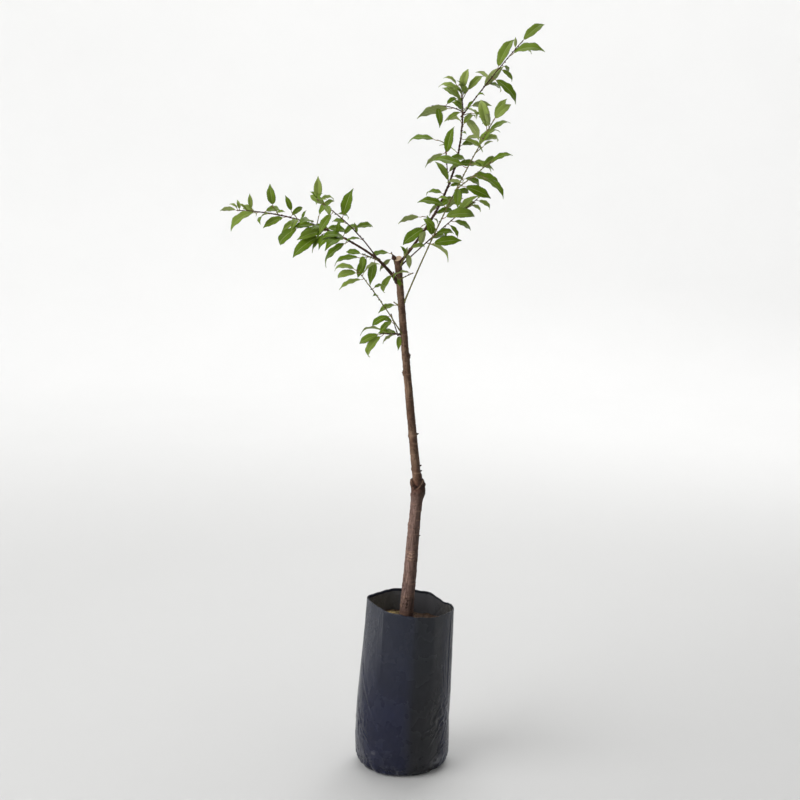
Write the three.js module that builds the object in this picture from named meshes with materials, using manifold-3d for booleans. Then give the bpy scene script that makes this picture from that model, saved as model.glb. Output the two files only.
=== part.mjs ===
// A young plum tree, grafted low on its trunk, in a black film grow bag full of soil.
// Millimetres, +Z up. The origin is on the ground under the middle of the bag's flat underside,
// and the tree is seen from the front along +Y.
import * as THREE from 'three';
import { mergeVertices } from 'three/addons/utils/BufferGeometryUtils.js';
import Module from 'manifold-3d';

const wasm = await Module();
wasm.setup();

// Driving sizes.
const JOINT_GAP = 0.3;
const BAG_HEIGHT = 342;
const BAG_LEAN = 17.5;
const BAG_LEAN_START = 100;
const BAG_WALL = 1.2;
const BAG_SIDES = 28;
const BAG_UNDERSIDE_RADIUS = 80;
const SOIL_LEVEL = 298;
const TRUNK_SIDES = 12;
const BOUGH_SIDES = 8;
const STEM_SIDES = 4;
const TWIG_SIDES = 3;
const SHOOT_JOINT = 8;
const WOOD_RING = 14;
const SHOOT_BEND = 5;
const WOOD_BEND = 1.5;
const LIMB_TAPER = 0.8;
const LIMB_SEAT = 0.9;
const LAST_JOINT_SHARE = 0.3;
const SPUR = { length: 15, spread: 4, foot: 0.95, tip: 0.8 };
const LEAVES_AT_JOINT = 4;
const LIMB_CLEARANCE = 1.2;
const STEM_OVERLAP = 2;
const ROOT_SINK = 5;

// The bag's outer radius at rising heights.
const BAG_PROFILE = [[0, BAG_UNDERSIDE_RADIUS], [4, 87], [14, 92.5], [33, 96.5], [60, 97.2], [110, 96],
  [160, 95.8], [225, 93], [SOIL_LEVEL, 90.4], [BAG_HEIGHT, 89]];
// How far the rim stands above its mean height on the right and at the back.
const RIM_RIGHT = -8.5;
const RIM_BACK = 1.5;
// The film's upright folds: depth, number round the bag and shift. They are full from a height on.
const BAG_FOLDS = [[1.2, 3, 0.6], [0.6, 7, 0]];
const FOLDS_FULL = 60;
// The rings of the soil's top as shares of its radius, and how uneven they are.
const SOIL_RINGS = [1, 0.72, 0.42];
const SOIL_LUMP = { height: 3.2, sunk: 0.7, from: 0.5, seed: 5 };

// The trunk's centre line leans right to the graft and back to the pruned head.
const TRUNK_FOOT = { x: 6.8, z: SOIL_LEVEL + JOINT_GAP, radius: 14 };
const TRUNK_GRAFT = { x: 31.3, z: 586, radius: 11.2 };
const TRUNK_HEAD = { x: -8.3, z: 1046, radius: 6.7 };
const SCION_RADIUS = 8.9;
const TRUNK_BOW = -1.3;
const ROOT_FLARE = { rise: 4.5, height: 16, lobes: 5 };
const GRAFT_KNOB = { z: 591, rise: 4.2, side: 0.8, above: 12, below: 22 };
const HEAD_COLLAR = { rise: 0.4, height: 16 };
const TRUNK_RING = 24;
// Pruned knots on the trunk: height, direction seen from above, and size.
const TRUNK_KNOTS = [
  { z: 608, direction: -10, size: 4.2 },
  { z: 852, direction: -15, size: 3.6 },
  { z: 818, direction: 190, size: 3.4 },
  { z: 728, direction: 60, size: 3.2 },
  { z: 506, direction: 150, size: 3.8 },
  { z: 434, direction: -60, size: 3.6 },
];

// Leaf lengths by size letter, and how far a leaf leans to the front (<) or the back (>).
const LEAF_LENGTH = { t: 20, s: 32, m: 44, b: 56, B: 67 };
const LEAF_LEAN = { '': 0, '<': -0.75, '<<': -1.8, '>': 0.75 };
const LEAF_THICKNESS = 0.9;
const BLADE_STATIONS = [0.28, 0.68];
// The least value of each measure of a leaf and how far it may exceed it: length and width as
// shares, the arc and the fold along the rib in degrees, and the turn of its face to the light.
const LENGTH_SHARE = [0.95, 0.1];
const WIDTH_SHARE = [0.32, 0.08];
const LEAF_ARC = [16, 56];
const LEAF_FOLD = [8, 16];
const LIGHT_TURN = [0.45, 0.9];
const TURNED_AWAY = 0.9;
// A stalk's length as a share of its leaf and beyond that, half its width, and its depth.
const STALK = { share: 0.13, base: 2, half: 0.8, root: 1.5, foot: 1.4 };
// The further leans that a leaf tries where it touches something.
const EXTRA_LEANS = [0, -0.5, 0.5, -1, 1, -1.6, 1.6];
// The side that the light comes from, which the leaves turn their faces to.
const LIGHT = new THREE.Vector3(0, -1, 0);
const UP = new THREE.Vector3(0, 0, 1);

// The limbs. Each starts on the trunk at a height, or on another limb at a distance along it, and
// has a heading seen from above (0 is right, 90 is back) that turns and a rise that lifts along its
// length. Its first stretch is bare wood, and then a joint follows every 8 mm. The growth word is
// read from there to the tip, one item to a joint: a dot is bare, and a leaf is the hour that its
// tip points to on a clock seen from the front, with its size letter and its lean. ^ sets a leaf out
// on a spur, and / parts leaves that share a joint.
const LIMBS = {
  left: { on: 'trunk', at: 1002, heading: -149, rise: 52, turn: -5, lift: -10, length: 61,
    wood: 61, foot: 3.7, tip: 2.6, seed: 1, word: '' },
  leftUpper: { on: 'left', at: 61, heading: -139, rise: 51, turn: -10, lift: -19, length: 184,
    wood: 56, foot: 1.4, tip: 0.8, seed: 3,
    word: '8.5s . 11.5t . 3m> . 9s> . 0.5b . 4s> 7m . 10m> 5m<< . 3s> 2.5t< 11.9m' },
  leftLong: { on: 'left', at: 61, heading: 163, rise: 34, turn: 5, lift: -34, length: 303,
    wood: 60, foot: 2.4, tip: 0.9, seed: 5,
    word: '. 7.5B 9b< 2m> 0.5s/7.8b . ^7.8B/9m> 8.5b 3.5m 8m ^1.5m/8.8m 4m> ^7.5b . 1t ^11.4s/7m<< . 2s> '
      + '8m . ^11.6m 2.5t 7.5m<< . 3m> 7.8B 9s> 12s 10.5t 4s> 11.5t 9s/10t' },
  leftFork: { on: 'left', at: 57, heading: -130, rise: 20, length: 50, wood: 4, foot: 1.4, tip: 0.9,
    seed: 2, word: '. 6.5b< . ^8.7b 6.8m . 6s</9s>' },
  lowLeft: { on: 'trunk', at: 898, heading: -129, rise: 50, turn: -3, lift: -6, length: 188,
    wood: 76, foot: 1.4, tip: 0.8, seed: 2, word: '. . . . 9.5t<< . . 3s> . . . 8.3m 2m> 8.5m 9m' },
  lowSpur: { on: 'trunk', at: 896, heading: -165, rise: 4, length: 38, wood: 2, foot: 1.5, tip: 0.9,
    seed: 4, word: '6.2s</9m> 8s< . 8.9b 7.2b 8.1m' },
  lowSpurTwig: { on: 'lowSpur', at: 6, heading: -165, rise: 72, length: 40, wood: 6, foot: 1.1,
    tip: 0.8, seed: 6, word: '. . 9.5s> 7.8m< 8m' },
  trunkSpur: { on: 'trunk', at: 953, heading: 175, rise: 35, length: 8, wood: 2, foot: 1.3, tip: 0.9,
    seed: 4, word: '8.5m<' },
  leftAxil: { on: 'trunk', at: 996, side: -52, heading: -130, rise: 46, length: 34, wood: 2,
    foot: 1.2, tip: 0.8, seed: 4, word: '. . 5.5t< . 7m' },
  headLeft: { on: 'trunk', at: 1036, heading: -175, rise: 72, length: 20, wood: 4, foot: 1.2, tip: 0.8,
    seed: 4, word: '. 7.5s< 8.5m' },
  headRight: { on: 'trunk', at: 1033, heading: -45, rise: 55, length: 40, wood: 8, foot: 1.3, tip: 0.8,
    seed: 4, word: '. 0.5t 11t 5.8s 3s>' },
  trunkFront: { on: 'trunk', at: 1006, side: -70, heading: -35, rise: 25, length: 30, wood: 6,
    foot: 1.2, tip: 0.8, seed: 4, word: '. . . 8.5m<' },
  right: { on: 'trunk', at: 1040, heading: -4, rise: 51, turn: 104, lift: 17, length: 374,
    wood: 85, foot: 3, tip: 1.3, seed: 1,
    word: '7.6b ^7.5s ^8.5m 3m> . 2m> . 7.5s . 9m> . 3s> 11m . 4s> . . 3m> . . 10m> . 3m> . 4m 3t<< '
      + '. 2m> 9m> . 5b/^3.5s 8s 4m> 10.5m 10m>/^1.5m 7t< 9.5m/0.5m/12s/^10s<' },
  rightSpur: { on: 'right', at: 177, heading: 150, rise: 84, length: 84, wood: 8, foot: 1.1, tip: 0.8,
    seed: 1, word: '. . 2s> . . 3m> 0.5b 8m . ^9b' },
  rightTopTwig: { on: 'right', at: 333, heading: 175, rise: 28, lift: -34, length: 60, wood: 4,
    foot: 1.1, tip: 0.8, seed: 1, word: '. . 8.5B . 2s> . 5.8m' },
  rightTip: { on: 'right', at: 325, heading: -23, rise: 52, turn: 1, lift: -5, length: 188,
    wood: 8, foot: 1.4, tip: 0.8, seed: 1,
    word: '. . 3m> . 7t 2.5t< . 1.5b . 4m> 10s> 4.5B . 1B 4.5s 5s> . . 2.8B . 0.2t 4s> 1.8b .' },
  rightSide: { on: 'trunk', at: 1032.5, heading: 2, rise: 43, turn: 2, lift: -4, length: 192,
    wood: 49, foot: 1.4, tip: 0.8, seed: 2,
    word: '0.5m< . 4.3b 3m> 11.5m . 9s> . 6t 5s 4m> 1.5b . 2m> . 9s> 4s> . 4s/2t' },
  front: { on: 'trunk', at: 960, heading: -17, rise: 67.3, turn: -12, lift: -9, length: 399,
    wood: 119, foot: 1.6, tip: 0.9, seed: 1,
    word: '. 2.7b . 3m> . 10s> 11t< . 3B . 2m> 9.3b . 9s> . 3s> . 6m< . 4m> . . 9.5B 3.5m 4m> . ^2t '
      + '1.8b . 3m> 9s> . 11.5b/2.3m . 10s> 1m/1.5m' },
  frontTwig: { on: 'front', at: 247, heading: -41, rise: 34, length: 96, wood: 8, foot: 1.1, tip: 0.8,
    seed: 1, word: '. 3.7b 9s> . 3m> 3.5b ^4.5b . 2m> 10t . 2.3m' },
};

// Boughs of bare wood, each its own solid: node name and limb.
const BOUGHS = [
  ['left_bough', 'left'],
  ['left_long_bough', 'leftLong'],
  ['left_upper_bough', 'leftUpper'],
  ['right_bough', 'right'],
  ['right_side_bough', 'rightSide'],
  ['front_shoot', 'front'],
  ['low_left_shoot', 'lowLeft'],
];
// Masses of leaves, each its own solid: node name and its limbs, the stem first.
const MASSES = [
  ['leaves_left_long', ['leftLong']],
  ['leaves_left_upper', ['leftUpper']],
  ['leaves_left_fork', ['leftFork']],
  ['leaves_low_left', ['lowLeft']],
  ['leaves_low_spur', ['lowSpur', 'lowSpurTwig']],
  ['leaves_trunk_spur', ['trunkSpur']],
  ['leaves_left_axil', ['leftAxil']],
  ['leaves_head_left', ['headLeft']],
  ['leaves_head_right', ['headRight']],
  ['leaves_trunk_front', ['trunkFront']],
  ['leaves_right', ['right', 'rightSpur', 'rightTopTwig', 'rightTip']],
  ['leaves_right_side', ['rightSide']],
  ['leaves_front', ['front', 'frontTwig']],
];

const radians = THREE.MathUtils.degToRad;
const lerp = THREE.MathUtils.lerp;

// A repeatable number from 0 to 1.
function chance(seed, index) {
  const wave = Math.sin(seed * 12.9898 + index * 78.233) * 43758.5453;
  return wave - Math.floor(wave);
}

// A unit vector from a heading and a rise in degrees.
function direction(heading, rise) {
  const level = Math.cos(radians(rise));
  return new THREE.Vector3(level * Math.cos(radians(heading)), level * Math.sin(radians(heading)),
    Math.sin(radians(rise)));
}

// The part of a vector that is square to an axis.
function squareTo(vector, axis) {
  return vector.clone().addScaledVector(axis, -vector.dot(axis));
}

// A closed mesh through a row of rings with the same number of points, with flat fans on its ends.
// A ring of one point is a tip. Rings run anticlockwise seen from the last ring.
function skin(rings) {
  const points = [];
  const faces = [];
  const starts = [];
  for (const ring of rings) {
    starts.push(points.length);
    points.push(...ring);
  }
  for (let row = 0; row + 1 < rings.length; row += 1) {
    const low = rings[row].length;
    const high = rings[row + 1].length;
    const sides = Math.max(low, high);
    for (let side = 0; side < sides; side += 1) {
      const a = starts[row] + side % low;
      const b = starts[row] + (side + 1) % low;
      const c = starts[row + 1] + (side + 1) % high;
      const d = starts[row + 1] + side % high;
      if (low > 1) faces.push([a, b, c]);
      if (high > 1) faces.push([a, c, d]);
    }
  }
  const addFan = (row, flipped) => {
    const ring = rings[row];
    if (ring.length < 3) return;
    const middle = new THREE.Vector3();
    ring.forEach((point) => middle.addScaledVector(point, 1 / ring.length));
    const hub = points.length;
    points.push(middle);
    for (let side = 0; side < ring.length; side += 1) {
      const a = starts[row] + side;
      const b = starts[row] + (side + 1) % ring.length;
      faces.push(flipped ? [hub, b, a] : [hub, a, b]);
    }
  };
  addFan(0, true);
  addFan(rings.length - 1, false);
  return geometryOf(points, faces);
}

function geometryOf(points, faces) {
  const geometry = new THREE.BufferGeometry();
  const position = new Float32Array(points.flatMap((point) => [point.x, point.y, point.z]));
  geometry.setAttribute('position', new THREE.BufferAttribute(position, 3));
  geometry.setIndex(faces.flat());
  return geometry;
}

function toManifold(geometry) {
  const plain = new THREE.BufferGeometry();
  plain.setAttribute('position', geometry.getAttribute('position').clone());
  if (geometry.index) plain.setIndex(geometry.index.clone());
  const merged = mergeVertices(plain, 1e-4);
  return new wasm.Manifold(new wasm.Mesh({
    numProp: 3,
    vertProperties: new Float32Array(merged.getAttribute('position').array),
    triVerts: new Uint32Array(merged.index.array),
  }));
}

// The largest body of a solid, without loose scraps.
function largestBody(solid) {
  const bodies = solid.decompose();
  return bodies.reduce((best, body) => (body.volume() > best.volume() ? body : best));
}

function toGeometry(solid) {
  const mesh = largestBody(solid).getMesh();
  const geometry = new THREE.BufferGeometry();
  geometry.setAttribute('position', new THREE.BufferAttribute(new Float32Array(mesh.vertProperties), 3));
  geometry.setIndex(Array.from(mesh.triVerts));
  return geometry;
}

// The height-by-radius profile of the bag read at a height.
function bagRadius(height) {
  const last = BAG_PROFILE.length - 1;
  const above = Math.max(1, BAG_PROFILE.findIndex(([level]) => level >= height));
  const row = height > BAG_PROFILE[last][0] ? last : above;
  const [lowLevel, lowRadius] = BAG_PROFILE[row - 1];
  const [highLevel, highRadius] = BAG_PROFILE[row];
  return lerp(lowRadius, highRadius, (height - lowLevel) / (highLevel - lowLevel));
}

// The filled bag leans to the right above its lower third.
function bagMiddle(height) {
  return BAG_LEAN * Math.max(0, height - BAG_LEAN_START) / (BAG_HEIGHT - BAG_LEAN_START);
}

// The film hangs in shallow upright folds that fade out at the flat underside.
function bagFold(angle, height) {
  const strength = Math.min(1, height / FOLDS_FULL);
  return BAG_FOLDS.reduce((sum, [depth, count, shift]) => (
    sum + strength * depth * Math.sin(count * angle + shift)), 0);
}

function bagRing(height, inset, level) {
  const ring = [];
  for (let side = 0; side < BAG_SIDES; side += 1) {
    const angle = side / BAG_SIDES * 2 * Math.PI;
    const radius = bagRadius(height) + bagFold(angle, height) - inset;
    const rim = RIM_RIGHT * Math.cos(angle) + RIM_BACK * Math.sin(angle);
    ring.push(new THREE.Vector3(
      bagMiddle(height) + radius * Math.cos(angle),
      radius * Math.sin(angle),
      level + rim * Math.max(0, (height - SOIL_LEVEL) / (BAG_HEIGHT - SOIL_LEVEL)),
    ));
  }
  return ring;
}

function makeBag() {
  const heights = BAG_PROFILE.map(([height]) => height);
  const outer = heights.map((height) => bagRing(height, 0, height));
  const inner = heights.slice(1).reverse().map((height) => (
    bagRing(height, BAG_WALL, Math.max(height, BAG_WALL))));
  const floor = bagRing(BAG_WALL, BAG_WALL, BAG_WALL);
  return skin([...outer, ...inner, floor]);
}

// A ring of the soil's top at a share of its radius, a little uneven away from the trunk.
function soilRing(share, row, inset) {
  const middle = bagMiddle(SOIL_LEVEL);
  return bagRing(SOIL_LEVEL - 1, inset, SOIL_LEVEL).map((point, side) => {
    const lump = share < SOIL_LUMP.from ? 0
      : SOIL_LUMP.height * (chance(SOIL_LUMP.seed + row, side) - SOIL_LUMP.sunk);
    return new THREE.Vector3(middle + (point.x - middle) * share, point.y * share, SOIL_LEVEL + lump);
  });
}

// The soil follows the inside of the bag.
function makeSoil() {
  const inset = BAG_WALL + JOINT_GAP;
  const heights = BAG_PROFILE.map(([height]) => height).slice(1, -2);
  const sides = heights.map((height) => bagRing(height, inset, height));
  const foot = bagRing(BAG_WALL, inset, BAG_WALL + JOINT_GAP);
  const top = SOIL_RINGS.map((share, row) => soilRing(share, row, inset));
  return skin([foot, ...sides, ...top]);
}

function trunkCentre(z) {
  if (z <= TRUNK_GRAFT.z) {
    const share = (z - TRUNK_FOOT.z) / (TRUNK_GRAFT.z - TRUNK_FOOT.z);
    return new THREE.Vector3(lerp(TRUNK_FOOT.x, TRUNK_GRAFT.x, share), 0, z);
  }
  const share = (z - TRUNK_GRAFT.z) / (TRUNK_HEAD.z - TRUNK_GRAFT.z);
  const bow = TRUNK_BOW * Math.sin(Math.PI * share);
  return new THREE.Vector3(lerp(TRUNK_GRAFT.x, TRUNK_HEAD.x, share) + bow, 0, z);
}

// A bell of height 1 around a place.
function bell(distance, width) {
  return Math.exp(-distance * distance / (width * width));
}

function trunkRadius(z, angle) {
  const share = THREE.MathUtils.smoothstep(z, GRAFT_KNOB.z, GRAFT_KNOB.z + 2 * GRAFT_KNOB.above);
  const stock = lerp(TRUNK_FOOT.radius, TRUNK_GRAFT.radius,
    (z - TRUNK_FOOT.z) / (TRUNK_GRAFT.z - TRUNK_FOOT.z));
  const scion = lerp(SCION_RADIUS, TRUNK_HEAD.radius,
    (z - TRUNK_GRAFT.z) / (TRUNK_HEAD.z - TRUNK_GRAFT.z));
  const flare = Math.exp(-(z - TRUNK_FOOT.z) / ROOT_FLARE.height)
    * ROOT_FLARE.rise * (0.55 + 0.45 * Math.cos(ROOT_FLARE.lobes * angle + 0.6));
  const knob = bell(z - GRAFT_KNOB.z, z > GRAFT_KNOB.z ? GRAFT_KNOB.above : GRAFT_KNOB.below)
    * (GRAFT_KNOB.rise + GRAFT_KNOB.side * Math.cos(angle));
  const collar = HEAD_COLLAR.rise * bell(z - TRUNK_HEAD.z + HEAD_COLLAR.height, HEAD_COLLAR.height);
  return lerp(stock, scion, share) + flare + knob + collar;
}

function trunkRing(z, grown) {
  const centre = trunkCentre(z);
  const ring = [];
  for (let side = 0; side < TRUNK_SIDES; side += 1) {
    const angle = side / TRUNK_SIDES * 2 * Math.PI;
    const radius = trunkRadius(z, angle) + grown;
    ring.push(new THREE.Vector3(centre.x + radius * Math.cos(angle), radius * Math.sin(angle), z));
  }
  return ring;
}

// The heights of the trunk's rings, closer together at the flare, the graft and the head.
function trunkHeights() {
  const heights = [];
  let z = TRUNK_FOOT.z;
  while (z < TRUNK_HEAD.z - TRUNK_RING / 3) {
    heights.push(z);
    const close = Math.max(bell(z - TRUNK_FOOT.z, 25), bell(z - TRUNK_GRAFT.z, 42),
      bell(z - TRUNK_HEAD.z, 40));
    z += TRUNK_RING * (1 - 0.55 * close);
  }
  return [...heights, TRUNK_HEAD.z];
}

function trunkSolid(grown) {
  const rings = trunkHeights().map((z) => trunkRing(z, grown));
  let solid = toManifold(skin(rings));
  for (const knot of TRUNK_KNOTS) {
    const lump = new THREE.IcosahedronGeometry(knot.size + grown, 0);
    const out = direction(knot.direction, 0);
    const reach = trunkRadius(knot.z, radians(knot.direction)) - knot.size * 0.25;
    const place = trunkCentre(knot.z).addScaledVector(out, reach);
    lump.translate(place.x, place.y, place.z);
    solid = solid.add(toManifold(lump));
  }
  return solid;
}

// The distances along a limb where it has a ring: bare wood first, then the shoot's joints.
function limbStations(limb) {
  const count = Math.max(1, Math.round(limb.wood / WOOD_RING));
  const stations = [];
  for (let ring = 0; ring < count; ring += 1) stations.push(limb.wood * ring / count);
  const firstJoint = stations.length;
  for (let far = limb.wood; far < limb.length - LAST_JOINT_SHARE * SHOOT_JOINT; far += SHOOT_JOINT) {
    stations.push(far);
  }
  stations.push(limb.length);
  return { stations, firstJoint };
}

// A limb's path, with its start on the trunk's bark or on another limb.
function growLimb(limb, grown) {
  const { stations, firstJoint } = limbStations(limb);
  let start;
  if (limb.on === 'trunk') {
    const side = radians(limb.side ?? limb.heading);
    start = trunkCentre(limb.at).addScaledVector(direction(limb.side ?? limb.heading, 0),
      trunkRadius(limb.at, side) * LIMB_SEAT);
  } else {
    start = pointAlong(grown[limb.on], limb.at);
  }
  const points = [start];
  for (let step = 0; step + 1 < stations.length; step += 1) {
    const middle = (stations[step] + stations[step + 1]) / 2 / limb.length;
    const bend = step >= firstJoint ? SHOOT_BEND : WOOD_BEND;
    const sway = Math.floor(step / 2) % 2 ? bend : -bend;
    const way = direction(limb.heading + (limb.turn ?? 0) * middle + sway,
      limb.rise + (limb.lift ?? 0) * middle);
    points.push(points[step].clone().addScaledVector(way, stations[step + 1] - stations[step]));
  }
  return { limb, stations, points, firstJoint };
}

function pointAlong(path, distance) {
  const { stations, points } = path;
  const found = stations.findIndex((station) => station >= distance);
  const row = found < 0 ? stations.length - 1 : Math.max(1, found);
  const share = (distance - stations[row - 1]) / (stations[row] - stations[row - 1]);
  return points[row - 1].clone().lerp(points[row], share);
}

function growAll() {
  const grown = {};
  for (const [name, limb] of Object.entries(LIMBS)) grown[name] = growLimb(limb, grown);
  return grown;
}

function limbRadius(limb, distance) {
  const share = distance / limb.length;
  return lerp(limb.foot, limb.tip, share ** LIMB_TAPER);
}

// A round limb from one distance along its path to another, grown by an extra radius.
function limbSolid(path, from, to, sides, grown = 0) {
  const distances = path.stations.filter((station) => station > from + 1 && station < to - 1);
  const stations = [from, ...distances, to];
  const centres = stations.map((station) => pointAlong(path, station));
  if (from === 0) {
    const way = path.points[1].clone().sub(path.points[0]).normalize();
    centres[0].addScaledVector(way, -ROOT_SINK);
  }
  let across = new THREE.Vector3(0.31, 0.95, 0.05);
  const rings = centres.map((centre, row) => {
    const before = centres[Math.max(0, row - 1)];
    const after = centres[Math.min(centres.length - 1, row + 1)];
    const along = after.clone().sub(before).normalize();
    across = squareTo(across, along).normalize();
    const third = new THREE.Vector3().crossVectors(along, across);
    const radius = limbRadius(path.limb, stations[row]) + grown;
    return Array.from({ length: sides }, (_, side) => {
      const angle = side / sides * 2 * Math.PI;
      return centre.clone().addScaledVector(across, radius * Math.cos(angle))
        .addScaledVector(third, radius * Math.sin(angle));
    });
  });
  return toManifold(skin(rings));
}

// A leaf read from its item of the growth word.
function readLeaf(item) {
  const spurs = item.length - item.replaceAll('^', '').length;
  const [, hour, size, lean] = item.replaceAll('^', '').match(/^([\d.]+)([tsmbB])([<>]*)$/);
  return { spurs, hour: Number(hour), length: LEAF_LENGTH[size], lean: LEAF_LEAN[lean] };
}

// Where a leaf stands: its root on the stem or spur, the foot of its blade and its own axes.
// The blade is an arc whose chord runs along the leaf and whose face turns to the light.
function placeLeaf(joint, along, word, seed, index, extraLean) {
  const luck = Array.from({ length: 8 }, (_, draw) => chance(seed, index * 8 + draw));
  const draw = ([least, spread], share) => least + spread * share;
  const hour = radians(30 * word.hour + (luck[0] - 0.5) * 10);
  const lean = word.lean + (luck[1] - 0.5) * 0.5 + extraLean;
  const chord = new THREE.Vector3(Math.sin(hour), lean, Math.cos(hour)).normalize();
  const root = joint.clone();
  if (word.spurs > 0) {
    const out = along.clone().multiplyScalar(0.5).addScaledVector(chord, 0.9).normalize();
    root.addScaledVector(out, SPUR.length * word.spurs + SPUR.spread * luck[6]);
  }
  const length = word.length * draw(LENGTH_SHARE, luck[3]);
  const turned = draw(LIGHT_TURN, luck[4]) * (luck[7] > TURNED_AWAY ? -1 : 1);
  const facing = UP.clone().multiplyScalar(0.9).addScaledVector(LIGHT, turned);
  facing.x += 0.15 * Math.sin(hour);
  let face = squareTo(facing, chord);
  if (face.length() < 0.15) face = squareTo(LIGHT.clone().setX(0.3), chord);
  face.normalize();
  const arc = radians(draw(LEAF_ARC, luck[5]));
  const stalk = chord.clone().multiplyScalar(Math.cos(arc / 2)).addScaledVector(face, Math.sin(arc / 2));
  const foot = root.clone().addScaledVector(stalk, STALK.share * length + STALK.base);
  return { joint, root, foot, chord, face, across: new THREE.Vector3().crossVectors(chord, face), length,
    arc, width: length * draw(WIDTH_SHARE, luck[0]), fold: radians(draw(LEAF_FOLD, luck[2])),
    spurs: word.spurs };
}

// Half of the blade's width at a share of its length: an oval drawn out to a point.
function bladeShape(share) {
  return Math.sin(Math.PI * share ** 0.86) ** 0.85 * (1 - 0.25 * share ** 4);
}

// The middle of the blade and its upright at a share of its length.
function bladeFrame(leaf, share) {
  const { arc, chord, face } = leaf;
  const angle = arc / 2 - arc * share;
  const scale = leaf.length / arc;
  const middle = leaf.foot.clone()
    .addScaledVector(chord, scale * (Math.sin(arc / 2) - Math.sin(angle)))
    .addScaledVector(face, scale * (Math.cos(angle) - Math.cos(arc / 2)));
  const upright = face.clone().multiplyScalar(Math.cos(angle)).addScaledVector(chord, -Math.sin(angle));
  return { middle, upright };
}

// Four points across the leaf: one edge, the top of the rib, the other edge and its underside.
function leafRing(leaf, middle, upright, half, thickness) {
  const out = half * Math.cos(leaf.fold);
  const lift = half * Math.sin(leaf.fold);
  const edge = (side) => middle.clone().addScaledVector(leaf.across, side * out)
    .addScaledVector(upright, lift);
  return [
    edge(-1),
    middle.clone().addScaledVector(upright, -thickness / 2),
    edge(1),
    middle.clone().addScaledVector(upright, thickness / 2),
  ];
}

// A leaf with its stalk and spur, grown all round by an extra measure.
function leafSolid(leaf, extra = 0) {
  const start = bladeFrame(leaf, 0);
  const rings = [
    leafRing(leaf, leaf.root, start.upright, STALK.half + extra, STALK.root + 2 * extra),
    leafRing(leaf, leaf.foot, start.upright, STALK.half + extra, STALK.foot + 2 * extra),
  ];
  for (const share of BLADE_STATIONS) {
    const { middle, upright } = bladeFrame(leaf, share);
    const half = leaf.width / 2 * bladeShape(share) + extra;
    rings.push(leafRing(leaf, middle, upright, half, LEAF_THICKNESS + 2 * extra));
  }
  rings.push([bladeFrame(leaf, 1).middle.addScaledVector(leaf.chord, extra)]);
  const blade = toManifold(skin(rings.map((ring) => ring.slice().reverse())));
  if (leaf.spurs === 0) return blade;
  return blade.add(twigSolid(leaf.joint, leaf.root, SPUR.foot + extra, SPUR.tip + extra));
}

// A thin twig of three sides between two points.
function twigSolid(from, to, footRadius, tipRadius) {
  const along = to.clone().sub(from).normalize();
  const across = squareTo(Math.abs(along.z) < 0.9 ? UP : LIGHT, along).normalize();
  const third = new THREE.Vector3().crossVectors(along, across);
  const ring = (centre, radius) => Array.from({ length: TWIG_SIDES }, (_, side) => {
    const angle = side / TWIG_SIDES * 2 * Math.PI;
    return centre.clone().addScaledVector(across, radius * Math.cos(angle))
      .addScaledVector(third, radius * Math.sin(angle));
  });
  return toManifold(skin([ring(from, footRadius), ring(to, tipRadius)]));
}

function distanceToSegment(point, from, to) {
  return new THREE.Line3(from, to).closestPointToPoint(point, true, new THREE.Vector3()).distanceTo(point);
}

// Whether a leaf keeps clear of the trunk and of every limb outside its own mass.
function isClear(leaf, ownLimbs, grown) {
  const samples = [0.1, 0.3, 0.5, 0.7, 0.9, 1].flatMap((share) => {
    const { middle, upright } = bladeFrame(leaf, share);
    const half = leaf.width / 2 * bladeShape(Math.min(share, 0.98));
    const ring = leafRing(leaf, middle, upright, half, 0);
    return [ring[0], middle, ring[2]];
  });
  return samples.every((point) => {
    const height = THREE.MathUtils.clamp(point.z, TRUNK_FOOT.z, TRUNK_HEAD.z);
    const centre = trunkCentre(height);
    if (point.distanceTo(centre) < trunkRadius(height, 0) + LIMB_CLEARANCE) return false;
    return Object.entries(grown).every(([name, path]) => {
      const radius = path.limb.foot + LIMB_CLEARANCE;
      if (ownLimbs.includes(name)) return true;
      return path.points.slice(1).every((end, row) => (
        distanceToSegment(point, path.points[row], end) > radius));
    });
  });
}

// A leaf that would touch a limb or another mass leans further to the front or the back, or is
// left out.
function settleLeaf(joint, along, item, limb, index, ownLimbs, grown, masses) {
  const word = readLeaf(item);
  for (const extraLean of EXTRA_LEANS) {
    const leaf = placeLeaf(joint, along, word, limb.seed, index, extraLean);
    const room = leafSolid(leaf, JOINT_GAP);
    const touches = masses.some((mass) => !mass.intersect(room).isEmpty());
    if (!touches && isClear(leaf, ownLimbs, grown)) return leaf;
  }
  return null;
}

function limbLeaves(name, ownLimbs, grown, masses) {
  const { limb, points, firstJoint } = grown[name];
  const leaves = [];
  limb.word.split(' ').forEach((group, count) => {
    const row = Math.min(firstJoint + count, points.length - 1);
    const along = points[row].clone().sub(points[row - 1]).normalize();
    if (group === '.' || group === '') return;
    group.split('/').forEach((item, place) => {
      const draw = count * LEAVES_AT_JOINT + place;
      const leaf = settleLeaf(points[row], along, item, limb, draw, ownLimbs, grown, masses);
      if (leaf) leaves.push(leaf);
    });
  });
  return leaves;
}

// A mass of leaves: its stem, the twigs that branch from it, and the leaves on their stalks.
function massSolid(limbNames, grown, cutters, masses) {
  const [stem] = limbNames;
  const parts = [];
  for (const name of limbNames) {
    const path = grown[name];
    const from = name === stem && isBough(stem) ? path.limb.wood - STEM_OVERLAP : 0;
    parts.push(limbSolid(path, from, path.limb.length, STEM_SIDES));
    for (const leaf of limbLeaves(name, limbNames, grown, masses)) parts.push(leafSolid(leaf));
  }
  let solid = wasm.Manifold.union(parts);
  for (const cutter of cutters) solid = solid.subtract(cutter);
  return solid;
}

function isBough(limbName) {
  return BOUGHS.some(([, name]) => name === limbName);
}

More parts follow.
